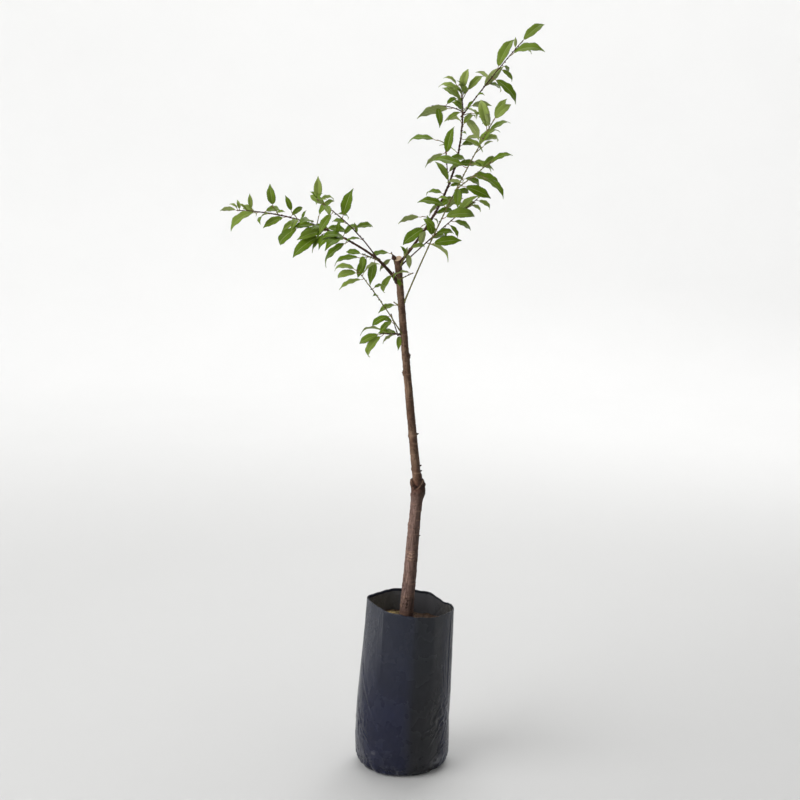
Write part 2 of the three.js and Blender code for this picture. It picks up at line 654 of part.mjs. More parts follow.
function boughSolid(name, grown, extra = 0) {
  const path = grown[name];
  const end = path.limb.wood - JOINT_GAP / 2;
  return limbSolid(path, 0, end + extra, BOUGH_SIDES, extra);
}

// Every solid of wood and leaves, cut clear of what it grows from.
function growTree() {
  const grown = growAll();
  const pieces = [['trunk', trunkSolid(0), 'bark']];
  const cutters = [trunkSolid(JOINT_GAP)];
  for (const [node, name] of BOUGHS) {
    const solid = cutters.reduce((rest, cutter) => rest.subtract(cutter), boughSolid(name, grown));
    pieces.push([node, solid, LIMB_FINISH[name] ?? 'bough']);
    cutters.push(boughSolid(name, grown, JOINT_GAP));
  }
  const masses = [];
  for (const [node, names] of MASSES) {
    const solid = massSolid(names, grown, cutters, masses);
    pieces.push([node, solid, 'leaf']);
    masses.push(solid);
  }
  return pieces;
}

const FINISHES = {
  film: new THREE.MeshStandardMaterial({ color: 0x2c2f36, roughness: 0.32, metalness: 0 }),
  soil: new THREE.MeshStandardMaterial({ color: 0x4a3524, roughness: 0.95, metalness: 0 }),
  bark: new THREE.MeshStandardMaterial({ color: 0x5d5143, roughness: 0.8, metalness: 0 }),
  bough: new THREE.MeshStandardMaterial({ color: 0x3a2a24, roughness: 0.65, metalness: 0 }),
  shoot: new THREE.MeshStandardMaterial({ color: 0x7d7f4a, roughness: 0.6, metalness: 0 }),
  leaf: new THREE.MeshStandardMaterial({ color: 0x61752f, roughness: 0.5, metalness: 0 }),
};
const LIMB_FINISH = { front: 'shoot', lowLeft: 'shoot' };

function addPiece(group, name, geometry, finish) {
  const mesh = new THREE.Mesh(geometry, FINISHES[finish].clone());
  mesh.name = name;
  group.add(mesh);
}

const tree = new THREE.Group();
addPiece(tree, 'grow_bag', makeBag(), 'film');
addPiece(tree, 'potting_soil', makeSoil(), 'soil');
for (const [name, solid, finish] of growTree()) {
  addPiece(tree, name, toGeometry(solid), finish);
}

export default tree;
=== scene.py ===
import math
from functools import partial

import bmesh
import bpy
import numpy as np
from bpy.props import FloatProperty, FloatVectorProperty, IntProperty, PointerProperty
from bpy.types import Operator, Panel, PropertyGroup
from mathutils.bvhtree import BVHTree
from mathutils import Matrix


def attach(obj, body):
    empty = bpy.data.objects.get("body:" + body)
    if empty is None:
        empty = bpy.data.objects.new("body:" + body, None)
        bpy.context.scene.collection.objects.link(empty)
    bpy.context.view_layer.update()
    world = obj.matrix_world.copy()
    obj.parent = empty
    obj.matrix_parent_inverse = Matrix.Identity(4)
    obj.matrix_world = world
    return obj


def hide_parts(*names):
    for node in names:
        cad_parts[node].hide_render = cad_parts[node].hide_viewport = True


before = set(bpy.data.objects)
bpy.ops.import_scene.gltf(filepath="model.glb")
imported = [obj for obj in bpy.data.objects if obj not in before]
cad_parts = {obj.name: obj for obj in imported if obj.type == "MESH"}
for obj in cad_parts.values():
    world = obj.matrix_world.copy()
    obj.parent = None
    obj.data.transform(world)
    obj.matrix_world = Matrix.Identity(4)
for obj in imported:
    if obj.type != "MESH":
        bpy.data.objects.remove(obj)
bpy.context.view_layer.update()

bl_info = {
    "name": "Potted Plum Tree",
    "version": (1, 0, 0),
    "blender": (4, 5, 0),
    "location": "3D View > Sidebar > Plum Tree",
    "description": "Builds a young grafted plum tree in a black film grow bag",
    "category": "Add Mesh",
}

# The growth rule below works in millimetres, and meshes are made in metres.
MM = 0.001
TURN = 2 * math.pi
BODY = "root"

# The grow bag and its soil. The profile gives the outer radius at heights.
BAG_HEIGHT, BAG_LEAN, BAG_LEAN_START, BAG_UNDERSIDE_RADIUS = 342.0, 17.5, 100.0, 80.0
SOIL_LEVEL, SOIL_DEPTH, INNER_FILM_DEPTH = 298.0, 22, 24
BAG_PROFILE = (
    (0, BAG_UNDERSIDE_RADIUS), (4, 87), (14, 92.5), (33, 96.5), (60, 97.2), (110, 96),
    (160, 95.8), (225, 93), (SOIL_LEVEL, 90.4), (BAG_HEIGHT, 89),
)
# The rim's height around the bag, from the right by the back: it dips where the film folds over.
RIM_HEIGHTS = (
    (0, 334), (20, 331), (35, 325.5), (60, 337.5), (90, 345), (141, 347), (180, 353),
    (233, 348.5), (270, 342), (310, 335), (360, 334),
)
# The radius at which the film's creases are laid out.
BAG_GRIP = 92.0
# Flat panels pressed into the film: direction of the middle, half width and strength.
FILM_PANELS = (
    (206, 27, 0.8), (256, 22, 0.5), (291, 13, 0.5), (325, 21, 0.7), (8, 17, 0.6), (46, 16, 1.0),
    (90, 26, 0.5), (140, 24, 0.6),
)
# Slack sides of the film: direction of the middle, width and strength.
SLACK_SIDES = ((205, 24, 1), (325, 26, 1), (60, 40, 0.8), (130, 40, 0.8))
# Folds in the film: direction and height of both ends, width and depth.
FILM_FOLDS = (
    (302, 62, 338, 128, 2.2, 2.1), (300, 84, 344, 104, 1.8, 1.7), (318, 40, 340, 96, 2.0, 1.8),
    (288, 92, 316, 106, 2.0, 1.6), (278, 196, 279, 18, 5.0, 0.9), (306, 30, 336, 58, 1.2, 2.2),
    (322, 60, 318, 22, 1.2, 2.2), (240, 52, 262, 58, 1.5, 1.4), (208, 96, 232, 60, 1.8, 1.8),
    (296, 150, 330, 118, 2.0, 1.5), (312, 112, 326, 150, 1.6, 1.5), (244, 34, 236, 14, 1.2, 1.8),
    (205, 200, 233, 120, 3.0, 1.5), (186, 232, 214, 168, 2.6, 1.7), (188, 150, 212, 92, 2.8, 1.4),
    (232, 345, 236, 210, 2.2, 1.6), (222, 330, 226, 240, 1.8, 0.8), (341, 330, 338, 150, 2.2, 1.6),
    (352, 320, 350, 190, 1.6, 1.0), (226, 50, 262, 24, 2.2, 1.3), (40, 320, 62, 262, 2.6, 2.2),
    (28, 322, 20, 270, 2.4, 1.8), (150, 330, 158, 220, 2.4, 1.4), (112, 320, 104, 200, 2.2, 1.2),
    (60, 210, 92, 120, 2.6, 1.5), (130, 120, 168, 70, 2.4, 1.3), (20, 150, 52, 80, 2.4, 1.4),
)
BAG_SIDES, SOIL_SIDES, TRUNK_SIDES, CUT_SIDES, BUD_SIDES = 300, 160, 84, 48, 8

# The trunk's centre line leans right to the graft and back to the pruned head.
TRUNK_FOOT = (6.8, SOIL_LEVEL + 0.3)
TRUNK_GRAFT = (31.3, 586.0)
TRUNK_HEAD = (-8.3, 1046.0)
FOOT_RADIUS, GRAFT_RADIUS, SCION_RADIUS, HEAD_RADIUS = 14.0, 11.2, 8.9, 6.7
TRUNK_BOW = -1.3
FLARE_RISE, FLARE_HEIGHT, FLARE_LOBES = 4.5, 16.0, 5
KNOB_Z, KNOB_RISE, KNOB_SIDE, KNOB_ABOVE, KNOB_BELOW = 591.0, 4.2, 0.8, 12.0, 22.0
COLLAR_RISE, COLLAR_HEIGHT = 0.4, 16.0
# The direction from which the graft's cup is open, in radians.
GRAFT_FRONT = -math.pi / 2 - 0.15
# Pruned knots on the trunk: height, direction seen from above, and size.
TRUNK_KNOTS = (
    (608, -10, 4.2), (852, -15, 3.6), (818, 190, 3.4), (728, 60, 3.2), (506, 150, 3.8),
    (434, -60, 3.0), (344, -95, 3.8), (957, 120, 3.0), (690, 200, 2.8), (622, 187, 2.4),
)
SPECKLED_KNOT_Z = 344
# Pale rings low on the front, with the direction of their middle, and how many scars ring it.
PALE_RINGS, PALE_RINGS_SIDE = (437.0, 443.5, 450.0), math.radians(257)
RING_SCARS = 70
# How far the head's cut slopes up to the right and to the back.
HEAD_SLOPE = (0.3, 0.6)
# Buds on the trunk, a swollen one left of the head's cut: height, direction, rise and length.
TRUNK_BUDS = (
    (1043, 196, 68, 12.5), (694, -8, 20, 5.5), (629, -6, 25, 5.0), (618, -4, 25, 4.4),
    (853, -14, 30, 4.6), (484, -8, 20, 3.6), (728, 58, 30, 4.6), (818, 188, 30, 4.2),
)
# Outlines of a pruning cut and of a bud: pairs of radius and height.
CUT_PROFILE = ((1.0, -0.6), (1.0, 0.0), (0.93, 0.45), (0.6, 0.6), (0.25, 0.52))
BUD_PROFILE = ((0.24, 0.0), (0.38, 0.2), (0.36, 0.45), (0.2, 0.72), (0.07, 0.9))

# The shoots' growth rule.
SHOOT_JOINT, WOOD_RING = 8.0, 14.0
SHOOT_BEND, WOOD_BEND = 5.0, 1.5
SPUR_LENGTH = 15.0
LEAVES_AT_JOINT = 4
LIMB_CLEARANCE = 1.2
# How far a leaf that would touch something leans to the front or the back, tried in this order.
LEANS = (0, -0.5, 0.5, -1, 1, -1.6, 1.6)
LINE_STEP = 1.6
LEAF_LENGTH = {"t": 20, "s": 32, "m": 44, "b": 56, "B": 67}
LEAF_LEAN = {"": 0, "<": -0.75, "<<": -1.8, ">": 0.75}
# A blade's outline: two powers that shape its oval, and how much and where its tip is drawn out.
SOLID_BLADE = (0.88, 0.76, 0.45, 0.7, 0.97)
FINISHED_BLADE = (0.84, 0.74, 0.5, 0.64, 0.96)
LIGHT = np.array((0.0, -1.0, 0.0))
UP = np.array((0.0, 0.0, 1.0))

# The limbs. Each starts on the trunk at a height, or on another limb at a distance along it, and
# has a heading seen from above (0 is right, 90 is back) that turns and a rise that lifts along its
# length. Its first stretch is bare wood, and then a joint follows every 8 mm. The growth word is
# read from there to the tip, one item to a joint: a dot is bare, and a leaf is the hour that its
# tip points to on a clock seen from the front, with its size letter and its lean. ^ sets a leaf
# out on a spur, and / parts leaves that share a joint.
LIMBS = {
    "left": dict(on="trunk", at=1002, heading=-149, rise=52, turn=-5, lift=-10, length=61,
                 wood=61, foot=3.7, tip=2.6, seed=1, word=""),
    "leftUpper": dict(on="left", at=61, heading=-139, rise=51, turn=-10, lift=-19, length=184,
                      wood=56, foot=1.4, tip=0.8, seed=3,
                      word="8.5s . 11.5t . 3m> . 9s> . 0.5b . 4s> 7m . 10m> 5m<< . 3s> 2.5t< 11.9m"),
    "leftLong": dict(on="left", at=61, heading=163, rise=34, turn=5, lift=-34, length=303,
                     wood=60, foot=2.4, tip=0.9, seed=5,
                     word=". 7.5B 9b< 2m> 0.5s/7.8b . ^7.8B/9m> 8.5b 3.5m 8m ^1.5m/8.8m 4m> ^7.5b . "
                          "1t ^11.4s/7m<< . 2s> 8m . ^11.6m 2.5t 7.5m<< . 3m> 7.8B 9s> 12s 10.5t 4s> "
                          "11.5t 9s/10t"),
    "leftFork": dict(on="left", at=57, heading=-130, rise=20, length=50, wood=4, foot=1.4, tip=0.9,
                     seed=2, word=". 6.5b< . ^8.7b 6.8m . 6s</9s>"),
    "lowLeft": dict(on="trunk", at=898, heading=-129, rise=50, turn=-3, lift=-6, length=188,
                    wood=76, foot=1.4, tip=0.8, seed=2,
                    word=". . . . 9.5t<< . . 3s> . . . 8.3m 2m> 8.5m 9m"),
    "lowSpur": dict(on="trunk", at=896, heading=-165, rise=4, length=38, wood=2, foot=1.5, tip=0.9,
                    seed=4, word="6.2s</9m> 8s< . 8.9b 7.2b 8.1m"),
    "lowSpurTwig": dict(on="lowSpur", at=6, heading=-165, rise=72, length=40, wood=6, foot=1.1,
                        tip=0.8, seed=6, word=". . 9.5s> 7.8m< 8m"),
    "trunkSpur": dict(on="trunk", at=953, heading=175, rise=35, length=8, wood=2, foot=1.3, tip=0.9,
                      seed=4, word="8.5m<"),
    "leftAxil": dict(on="trunk", at=996, side=-52, heading=-130, rise=46, length=34, wood=2,
                     foot=1.2, tip=0.8, seed=4, word=". . 5.5t< . 7m"),
    "headLeft": dict(on="trunk", at=1036, heading=-175, rise=72, length=20, wood=4, foot=1.2,
                     tip=0.8, seed=4, word=". 7.5s< 8.5m"),
    "headRight": dict(on="trunk", at=1033, heading=-45, rise=55, length=40, wood=8, foot=1.3,
                      tip=0.8, seed=4, word=". 0.5t 11t 5.8s 3s>"),
    "trunkFront": dict(on="trunk", at=1006, side=-70, heading=-35, rise=25, length=30, wood=6,
                       foot=1.2, tip=0.8, seed=4, word=". . . 8.5m<"),
    "right": dict(on="trunk", at=1040, heading=-4, rise=51, turn=104, lift=17, length=374,
                  wood=85, foot=3, tip=1.3, seed=1,
                  word="7.6b ^7.5s ^8.5m 3m> . 2m> . 7.5s . 9m> . 3s> 11m . 4s> . . 3m> . . 10m> . "
                       "3m> . 4m 3t<< . 2m> 9m> . 5b/^3.5s 8s 4m> 10.5m 10m>/^1.5m 7t< "
                       "9.5m/0.5m/12s/^10s<"),
    "rightSpur": dict(on="right", at=177, heading=150, rise=84, length=84, wood=8, foot=1.1,
                      tip=0.8, seed=1, word=". . 2s> . . 3m> 0.5b 8m . ^9b"),
    "rightTopTwig": dict(on="right", at=333, heading=175, rise=28, lift=-34, length=60, wood=4,
                         foot=1.1, tip=0.8, seed=1, word=". . 8.5B . 2s> . 5.8m"),
    "rightTip": dict(on="right", at=325, heading=-23, rise=52, turn=1, lift=-5, length=188,
                     wood=8, foot=1.4, tip=0.8, seed=1,
                     word=". . 3m> . 7t 2.5t< . 1.5b . 4m> 10s> 4.5B . 1B 4.5s 5s> . . 2.8B . "
                          "0.2t 4s> 1.8b ."),
    "rightSide": dict(on="trunk", at=1032.5, heading=2, rise=43, turn=2, lift=-4, length=192,
                      wood=49, foot=1.4, tip=0.8, seed=2,
                      word="0.5m< . 4.3b 3m> 11.5m . 9s> . 6t 5s 4m> 1.5b . 2m> . 9s> 4s> . 4s/2t"),
    "front": dict(on="trunk", at=960, heading=-17, rise=67.3, turn=-12, lift=-9, length=399,
                  wood=119, foot=1.6, tip=0.9, seed=1,
                  word=". 2.7b . 3m> . 10s> 11t< . 3B . 2m> 9.3b . 9s> . 3s> . 6m< . 4m> . . 9.5B "
                       "3.5m 4m> . ^2t 1.8b . 3m> 9s> . 11.5b/2.3m . 10s> 1m/1.5m"),
    "frontTwig": dict(on="front", at=247, heading=-41, rise=34, length=96, wood=8, foot=1.1,
                      tip=0.8, seed=1, word=". 3.7b 9s> . 3m> 3.5b ^4.5b . 2m> 10t . 2.3m"),
}
# Leaves that crowd at some joints, finer than the masses' own: the joint, counted from the first
# with leaves or back from the tip, and its leaves.
CROWDED_JOINTS = {
    "right": ((-1, "10.8s<</11.5s</0.2s<</0.9t<"), (-2, "9.9s<</11.2t<</1.3t<"), (-4, "9.7s<<"),
              (-6, "2.2t<</10.2s<")),
    "leftUpper": ((-1, "10.6t</1.2t<"), (-3, "9.8s<</2t<")),
    "leftLong": ((2, "8.2B<<"), (5, "7.6b<<"), (8, "9.2m<</7.2s<"), (11, "8.9b<<"),
                 (14, "8.2m<<")),
    "lowSpur": ((2, "10.5s<<"),),
    "front": ((-3, "10.2s<</11.8s<"),),
}
# Limbs with the green bark of this year's shoots.
GREEN_LIMBS = ("front", "frontTwig", "lowLeft", "leftFork", "trunkSpur", "leftAxil", "headLeft",
               "headRight", "trunkFront")
# The masses of leaves and the limbs of each, the stem first.
MASSES = {
    "leaves_left_long": ("leftLong",),
    "leaves_left_upper": ("leftUpper",),
    "leaves_left_fork": ("leftFork",),
    "leaves_low_left": ("lowLeft",),
    "leaves_low_spur": ("lowSpur", "lowSpurTwig"),
    "leaves_trunk_spur": ("trunkSpur",),
    "leaves_left_axil": ("leftAxil",),
    "leaves_head_left": ("headLeft",),
    "leaves_head_right": ("headRight",),
    "leaves_trunk_front": ("trunkFront",),
    "leaves_right": ("right", "rightSpur", "rightTopTwig", "rightTip"),
    "leaves_right_side": ("rightSide",),
    "leaves_front": ("front", "frontTwig"),
}
BROWN_NODES = ("left_bough", "left_long_bough", "left_upper_bough", "right_bough",
               "right_side_bough")
GREEN_NODES = ("front_shoot", "low_left_shoot")

# Colours that stay as they are: reddish crumbs, the bark's stains, flushed stalks, paper's grain.
RED_CRUMB, DAMP_BARK, CALLUS_BARK = (0.085, 0.045, 0.032), (0.055, 0.016, 0.012), (0.17, 0.072, 0.045)
FLUSHED_STALK, PAPER_GRAIN = (0.22, 0.09, 0.045), (0.5, 0.5, 0.5)

# The camera stands where the photograph was taken from.
CAMERA_PLACE, CAMERA_PITCH = (-0.004, -3.4, 1.486), 78.0
CAMERA_LENS, CAMERA_SENSOR = 78.9, 36.0
# Each light's place, what it is aimed at, and its size. Its power is a setting of its name.
TREE_MIDDLE = (0.0, 0.0, 0.8)
LIGHTS = {
    "key": ((-3.0, -1.7, 2.4), TREE_MIDDLE, 4.2),
    "fill": ((2.8, -2.2, 1.6), TREE_MIDDLE, 2.4),
    "top": ((0.2, 0.8, 3.9), TREE_MIDDLE, 2.6),
    "back": ((1.4, 2.9, 2.6), TREE_MIDDLE, 1.8),
    "wall": ((0.0, 1.6, 4.2), (0.0, 4.9, 0.7), 2.4),
}


# Settings

def metres(name, description, default, least, most):
    return FloatProperty(name=name, description=description, default=default, min=least,
                         max=most, unit="LENGTH")


def count_of(name, description, default, most):
    return IntProperty(name=name, description=description, default=default, min=0, max=most)


def watts(name, default):
    return FloatProperty(name=name, description=f"Power of the {name.lower()}", default=default,
                         min=0, unit="POWER")


def tint(name, description, *colour):
    return FloatVectorProperty(name=name, description=description, default=colour, size=3,
                               subtype="COLOR", min=0, max=1)


class BagSettings(PropertyGroup):
    """Sizes and colours of the film grow bag"""
    film: metres("Film", "Thickness of the film wall", 0.0008, 0.0002, 0.003)
    crumple: metres("Crumple", "Depth of the creases in the film", 0.0016, 0, 0.005)
    creases: count_of("Creases", "How many short creases cross the film", 90, 400)
    colour: tint("Colour", "Colour of the film", 0.008, 0.0095, 0.024)
    upper: tint("Upper film", "Colour of the film's faded upper half", 0.021, 0.0245, 0.032)
    inside: tint("Inside", "Colour of the film's dusty inside", 0.09, 0.088, 0.082)
    dust: tint("Dust", "Colour of the dust on the film", 0.07, 0.072, 0.08)


class SoilSettings(PropertyGroup):
    """Sizes and colours of the potting soil"""
    roughness: metres("Lumps", "Height of the lumps in the soil", 0.004, 0, 0.02)
    crumbs: count_of("Crumbs", "Crumbs lying on a square metre of soil", 60000, 200000)
    crumb_size: metres("Crumb size", "Width of the largest crumbs", 0.0045, 0.001, 0.02)
    colour: tint("Colour", "Colour of the damp soil", 0.085, 0.055, 0.036)
    lit_moss: tint("Moss", "Colour of the dry, mossy patches", 0.8, 0.6, 0.24)


class WoodSettings(PropertyGroup):
    """Sizes and colours of the trunk, boughs and shoots"""
    relief: metres("Relief", "Depth of the bark's ridges", 0.0006, 0, 0.003)
    bark: tint("Bark", "Colour of the trunk's bark", 0.175, 0.095, 0.058)
    bark_pale: tint("Pale bark", "Colour of the bark's pale skin", 0.29, 0.182, 0.12)
    bark_dark: tint("Dark bark", "Colour of cracks and scars", 0.022, 0.011, 0.007)
    stock: tint("Stock", "Colour of the rootstock's bark", 0.31, 0.205, 0.192)
    young: tint("Young wood", "Colour of last year's boughs", 0.045, 0.021, 0.014)
    green: tint("Green shoots", "Colour of this year's shoots", 0.15, 0.14, 0.042)
    cut: tint("Cut wood", "Colour of the pruning cuts", 0.76, 0.54, 0.36)


class LeafSettings(PropertyGroup):
    """Sizes and colours of the leaves"""
    thickness: metres("Thickness", "Thickness of a blade at its rib", 0.0005, 0.0001, 0.002)
    waviness: FloatProperty(name="Waviness", description="How far the margins wave, as a share of "
                            "the half width", default=0.11, min=0, max=0.6)
    old: tint("Old leaves", "Colour of full-grown leaves", 0.072, 0.125, 0.001)
    young: tint("Young leaves", "Colour of the youngest leaves", 0.33, 0.39, 0.11)
    under: tint("Undersides", "Colour of the undersides", 0.3, 0.36, 0.12)
    stalk: tint("Stalks", "Colour of the leaf stalks", 0.24, 0.2, 0.07)


class StageSettings(PropertyGroup):
    """The studio around the tree"""
    floor: tint("Floor", "Colour of the floor", 0.61, 0.61, 0.605)
    paper: tint("Backdrop", "Colour of the backdrop", 0.93, 0.93, 0.925)
    key: watts("Key light", 125)
    fill: watts("Fill light", 3)
    top: watts("Light overhead", 38)
    back: watts("Light behind the tree", 26)
    wall: watts("Light on the backdrop", 74)
    sky: FloatProperty(name="Sky", description="Strength of the soft light all round",
                       default=0.18, min=0, max=3)


class PlumTreeSettings(PropertyGroup):
    """All settings of the potted plum tree"""
    bag: PointerProperty(type=BagSettings)
    soil: PointerProperty(type=SoilSettings)
    wood: PointerProperty(type=WoodSettings)
    leaf: PointerProperty(type=LeafSettings)
    stage: PointerProperty(type=StageSettings)


# Numbers and vectors

def chance(seed, index):
    """A repeatable number from 0 to 1."""
    wave = math.sin(seed * 12.9898 + index * 78.233) * 43758.5453
    return wave - math.floor(wave)


def unit(vector):
    return vector / np.linalg.norm(vector)


def square_to(vector, axis):
    """The part of a vector that is square to an axis."""
    return vector - axis * np.dot(vector, axis)


def direction(heading, rise):
    """A unit vector from a heading and a rise in degrees."""
    heading, rise = math.radians(heading), math.radians(rise)
    level = math.cos(rise)
    return np.array((level * math.cos(heading), level * math.sin(heading), math.sin(rise)))


def circle(sides):
    """Angles in radians evenly round a circle."""
    return np.arange(sides) / sides * 2 * math.pi


def polar(radius, angle, level):
    """Points at radii, directions in radians and levels."""
    return np.stack(np.broadcast_arrays(radius * np.cos(angle), radius * np.sin(angle), level),
                    axis=-1)


def wrapped(value, whole):
    """A value taken round a circle, to at most half of the whole on either side of 0."""
    return (value + whole / 2) % whole - whole / 2


def bell(distance, width):
    """A bell of height 1 around a place."""
    return np.exp(-np.square(np.asarray(distance, float) / width))


def smooth_step(value, low, high):
    share = np.clip((np.asarray(value, float) - low) / (high - low), 0, 1)
    return share * share * (3 - 2 * share)


def hashed(cells, seed):
    """A repeatable number from -1 to 1 for each row of whole numbers."""
    wave = np.sin(cells @ np.array((127.1, 311.7, 74.7)) + seed * 17.17) * 43758.5453
    return 2 * (wave - np.floor(wave)) - 1


def noise(points, size, seed):
    """Smooth noise from -1 to 1 at points, with lumps of a given size."""
    places = points / size
    cells = np.floor(places)
    share = places - cells
    share = share * share * (3 - 2 * share)
    total = np.zeros(len(points))
    for corner in range(8):
        step = np.array((corner & 1, corner >> 1 & 1, corner >> 2 & 1))
        total += np.prod(np.where(step, share, 1 - share), axis=1) * hashed(cells + step, seed)
    return total


# Growth

def trunk_centre(z):
    """The middle of the trunk at heights z, as rows of points."""
    z = np.atleast_1d(np.asarray(z, float))
    low = np.interp(z, (TRUNK_FOOT[1], TRUNK_GRAFT[1]), (TRUNK_FOOT[0], TRUNK_GRAFT[0]))
    share = (z - TRUNK_GRAFT[1]) / (TRUNK_HEAD[1] - TRUNK_GRAFT[1])
    high = TRUNK_GRAFT[0] + (TRUNK_HEAD[0] - TRUNK_GRAFT[0]) * share
    x = np.where(z <= TRUNK_GRAFT[1], low, high + TRUNK_BOW * np.sin(math.pi * share))
    return np.stack((x, np.zeros_like(x), z), axis=-1)


def scion_radius(z):
    """The radius of the plain wood above the graft."""
    rise = (z - TRUNK_GRAFT[1]) / (TRUNK_HEAD[1] - TRUNK_GRAFT[1])
    return SCION_RADIUS + (HEAD_RADIUS - SCION_RADIUS) * rise


def trunk_radius(z, angle):
    """The trunk's radius at heights z and directions in radians."""
    z = np.asarray(z, float)
    share = smooth_step(z, KNOB_Z, KNOB_Z + 2 * KNOB_ABOVE)
    rise = (z - TRUNK_FOOT[1]) / (TRUNK_GRAFT[1] - TRUNK_FOOT[1])
    stock = FOOT_RADIUS + (GRAFT_RADIUS - FOOT_RADIUS) * rise
    lobes = 0.55 + 0.45 * np.cos(FLARE_LOBES * angle + 0.6)
    flare = np.exp(-(z - TRUNK_FOOT[1]) / FLARE_HEIGHT) * FLARE_RISE * lobes
    width = np.where(z > KNOB_Z, KNOB_ABOVE, KNOB_BELOW)
    knob = bell(z - KNOB_Z, width) * (KNOB_RISE + KNOB_SIDE * np.cos(angle))
    collar = COLLAR_RISE * bell(z - TRUNK_HEAD[1] + COLLAR_HEIGHT, COLLAR_HEIGHT)
    return stock + (scion_radius(z) - stock) * share + flare + knob + collar


def limb_stations(limb):
    """Distances along a limb where it has a ring: bare wood first, then the shoot's joints."""
    count = max(1, math.floor(limb["wood"] / WOOD_RING + 0.5))
    stations = [limb["wood"] * ring / count for ring in range(count)]
    far = limb["wood"]
    while far < limb["length"] - 0.3 * SHOOT_JOINT:
        stations.append(far)
        far += SHOOT_JOINT
    return stations + [limb["length"]], count


def point_along(path, distance):
    """The point of a limb's path at a distance from its start."""
    stations, points = path["stations"], path["points"]
    row = next((k for k, far in enumerate(stations) if far >= distance), len(stations) - 1)
    row = max(1, row)
    share = (distance - stations[row - 1]) / (stations[row] - stations[row - 1])
    return points[row - 1] + (points[row] - points[row - 1]) * share


def grow_limb(limb, grown):
    """A limb's path, with its start on the trunk's bark or on another limb."""
    stations, first_joint = limb_stations(limb)
    if limb["on"] == "trunk":
        side = limb.get("side", limb["heading"])
        reach = 0.9 * float(trunk_radius(limb["at"], math.radians(side)))
        start = trunk_centre(limb["at"])[0] + direction(side, 0) * reach
    else:
        start = point_along(grown[limb["on"]], limb["at"])
    points = [start]
    for step in range(len(stations) - 1):
        middle = (stations[step] + stations[step + 1]) / 2 / limb["length"]
        bend = SHOOT_BEND if step >= first_joint else WOOD_BEND
        sway = bend if step // 2 % 2 else -bend
        way = direction(limb["heading"] + limb.get("turn", 0) * middle + sway,
                        limb["rise"] + limb.get("lift", 0) * middle)
        points.append(points[step] + way * (stations[step + 1] - stations[step]))
    return {"limb": limb, "stations": stations, "points": points, "first_joint": first_joint}


def grow_limbs():
    grown = {}
    for name, limb in LIMBS.items():
        grown[name] = grow_limb(limb, grown)
    return grown


def limb_radius(limb, distance):
    return limb["foot"] + (limb["tip"] - limb["foot"]) * (distance / limb["length"]) ** 0.8


def read_leaf(item):
    """A leaf read from its item of the growth word."""
    plain = item.replace("^", "")
    size = next(letter for letter in plain if letter in LEAF_LENGTH)
    hour, lean = plain.split(size)
    return {"spurs": len(item) - len(plain), "hour": float(hour), "length": LEAF_LENGTH[size],
            "lean": LEAF_LEAN[lean]}


def place_leaf(joint, along, word, seed, index, extra_lean):
    """Where a leaf stands: its root on the stem or spur, its foot and its own axes."""
    luck = [chance(seed, index * 8 + draw) for draw in range(8)]
    hour = math.radians(30 * word["hour"] + (luck[0] - 0.5) * 10)
    lean = word["lean"] + (luck[1] - 0.5) * 0.5 + extra_lean
    chord = unit(np.array((math.sin(hour), lean, math.cos(hour))))
    root = np.array(joint)
    if word["spurs"]:
        root = root + unit(along * 0.5 + chord * 0.9) * (SPUR_LENGTH * word["spurs"] + 4 * luck[6])
    length = word["length"] * (0.95 + 0.1 * luck[3])
    turned = (0.45 + 0.9 * luck[4]) * (-1 if luck[7] > 0.9 else 1)
    face = square_to(UP * 0.9 + LIGHT * turned + np.array((0.15 * math.sin(hour), 0, 0)), chord)
    if np.linalg.norm(face) < 0.15:
        face = square_to(LIGHT + np.array((0.3, 0, 0)), chord)
    face = unit(face)
    arc = math.radians(16 + 56 * luck[5])
    stalk = chord * math.cos(arc / 2) + face * math.sin(arc / 2)
    return {"joint": np.array(joint), "root": root, "foot": root + stalk * (0.13 * length + 2),
            "stalk": stalk, "chord": chord, "face": face, "across": np.cross(chord, face),
            "length": length, "arc": arc, "width": length * (0.32 + 0.08 * luck[0]),
            "fold": math.radians(8 + 16 * luck[2]), "spurs": word["spurs"],
            "twist": (luck[6] - 0.5) * 0.9, "phase": luck[3] * 6.28, "luck": luck[2],
            "hook": 0.4 + 0.8 * luck[1]}


def blade_breadth(share, outline):
    """Half of a blade's breadth at a share of its length: an oval drawn out to a point."""
    early, full, drawn, start, end = outline
    oval = np.maximum(np.sin(math.pi * np.minimum(share ** early, 1)), 0) ** full
    return oval * (1 - drawn * smooth_step(share, start, end))


def blade_points(leaf, shares):
    """Rows of one edge, the rib and the other edge of a leaf."""
    rows = []
    for share in shares:
        angle = leaf["arc"] / 2 - leaf["arc"] * share
        scale = leaf["length"] / leaf["arc"]
        half = leaf["arc"] / 2
        middle = (leaf["foot"] + leaf["chord"] * scale * (math.sin(half) - math.sin(angle))
                  + leaf["face"] * scale * (math.cos(angle) - math.cos(half)))
        upright = leaf["face"] * math.cos(angle) - leaf["chord"] * math.sin(angle)
        reach = leaf["width"] / 2 * float(blade_breadth(min(share, 0.98), SOLID_BLADE))
        out = leaf["across"] * reach * math.cos(leaf["fold"])
        lift = upright * reach * math.sin(leaf["fold"])
        rows.append((middle - out + lift, middle, middle + out + lift))
    return np.array(rows)


def distance_to_path(points, path):
    """The distance from each point to a limb's path."""
    nearest = np.full(len(points), np.inf)
    for start, end in zip(path["points"][:-1], path["points"][1:]):
        way = end - start
        share = np.clip((points - start) @ way / (way @ way), 0, 1)
        gap = np.linalg.norm(points - start - share[:, None] * way, axis=1)
        nearest = np.minimum(nearest, gap)
    return nearest


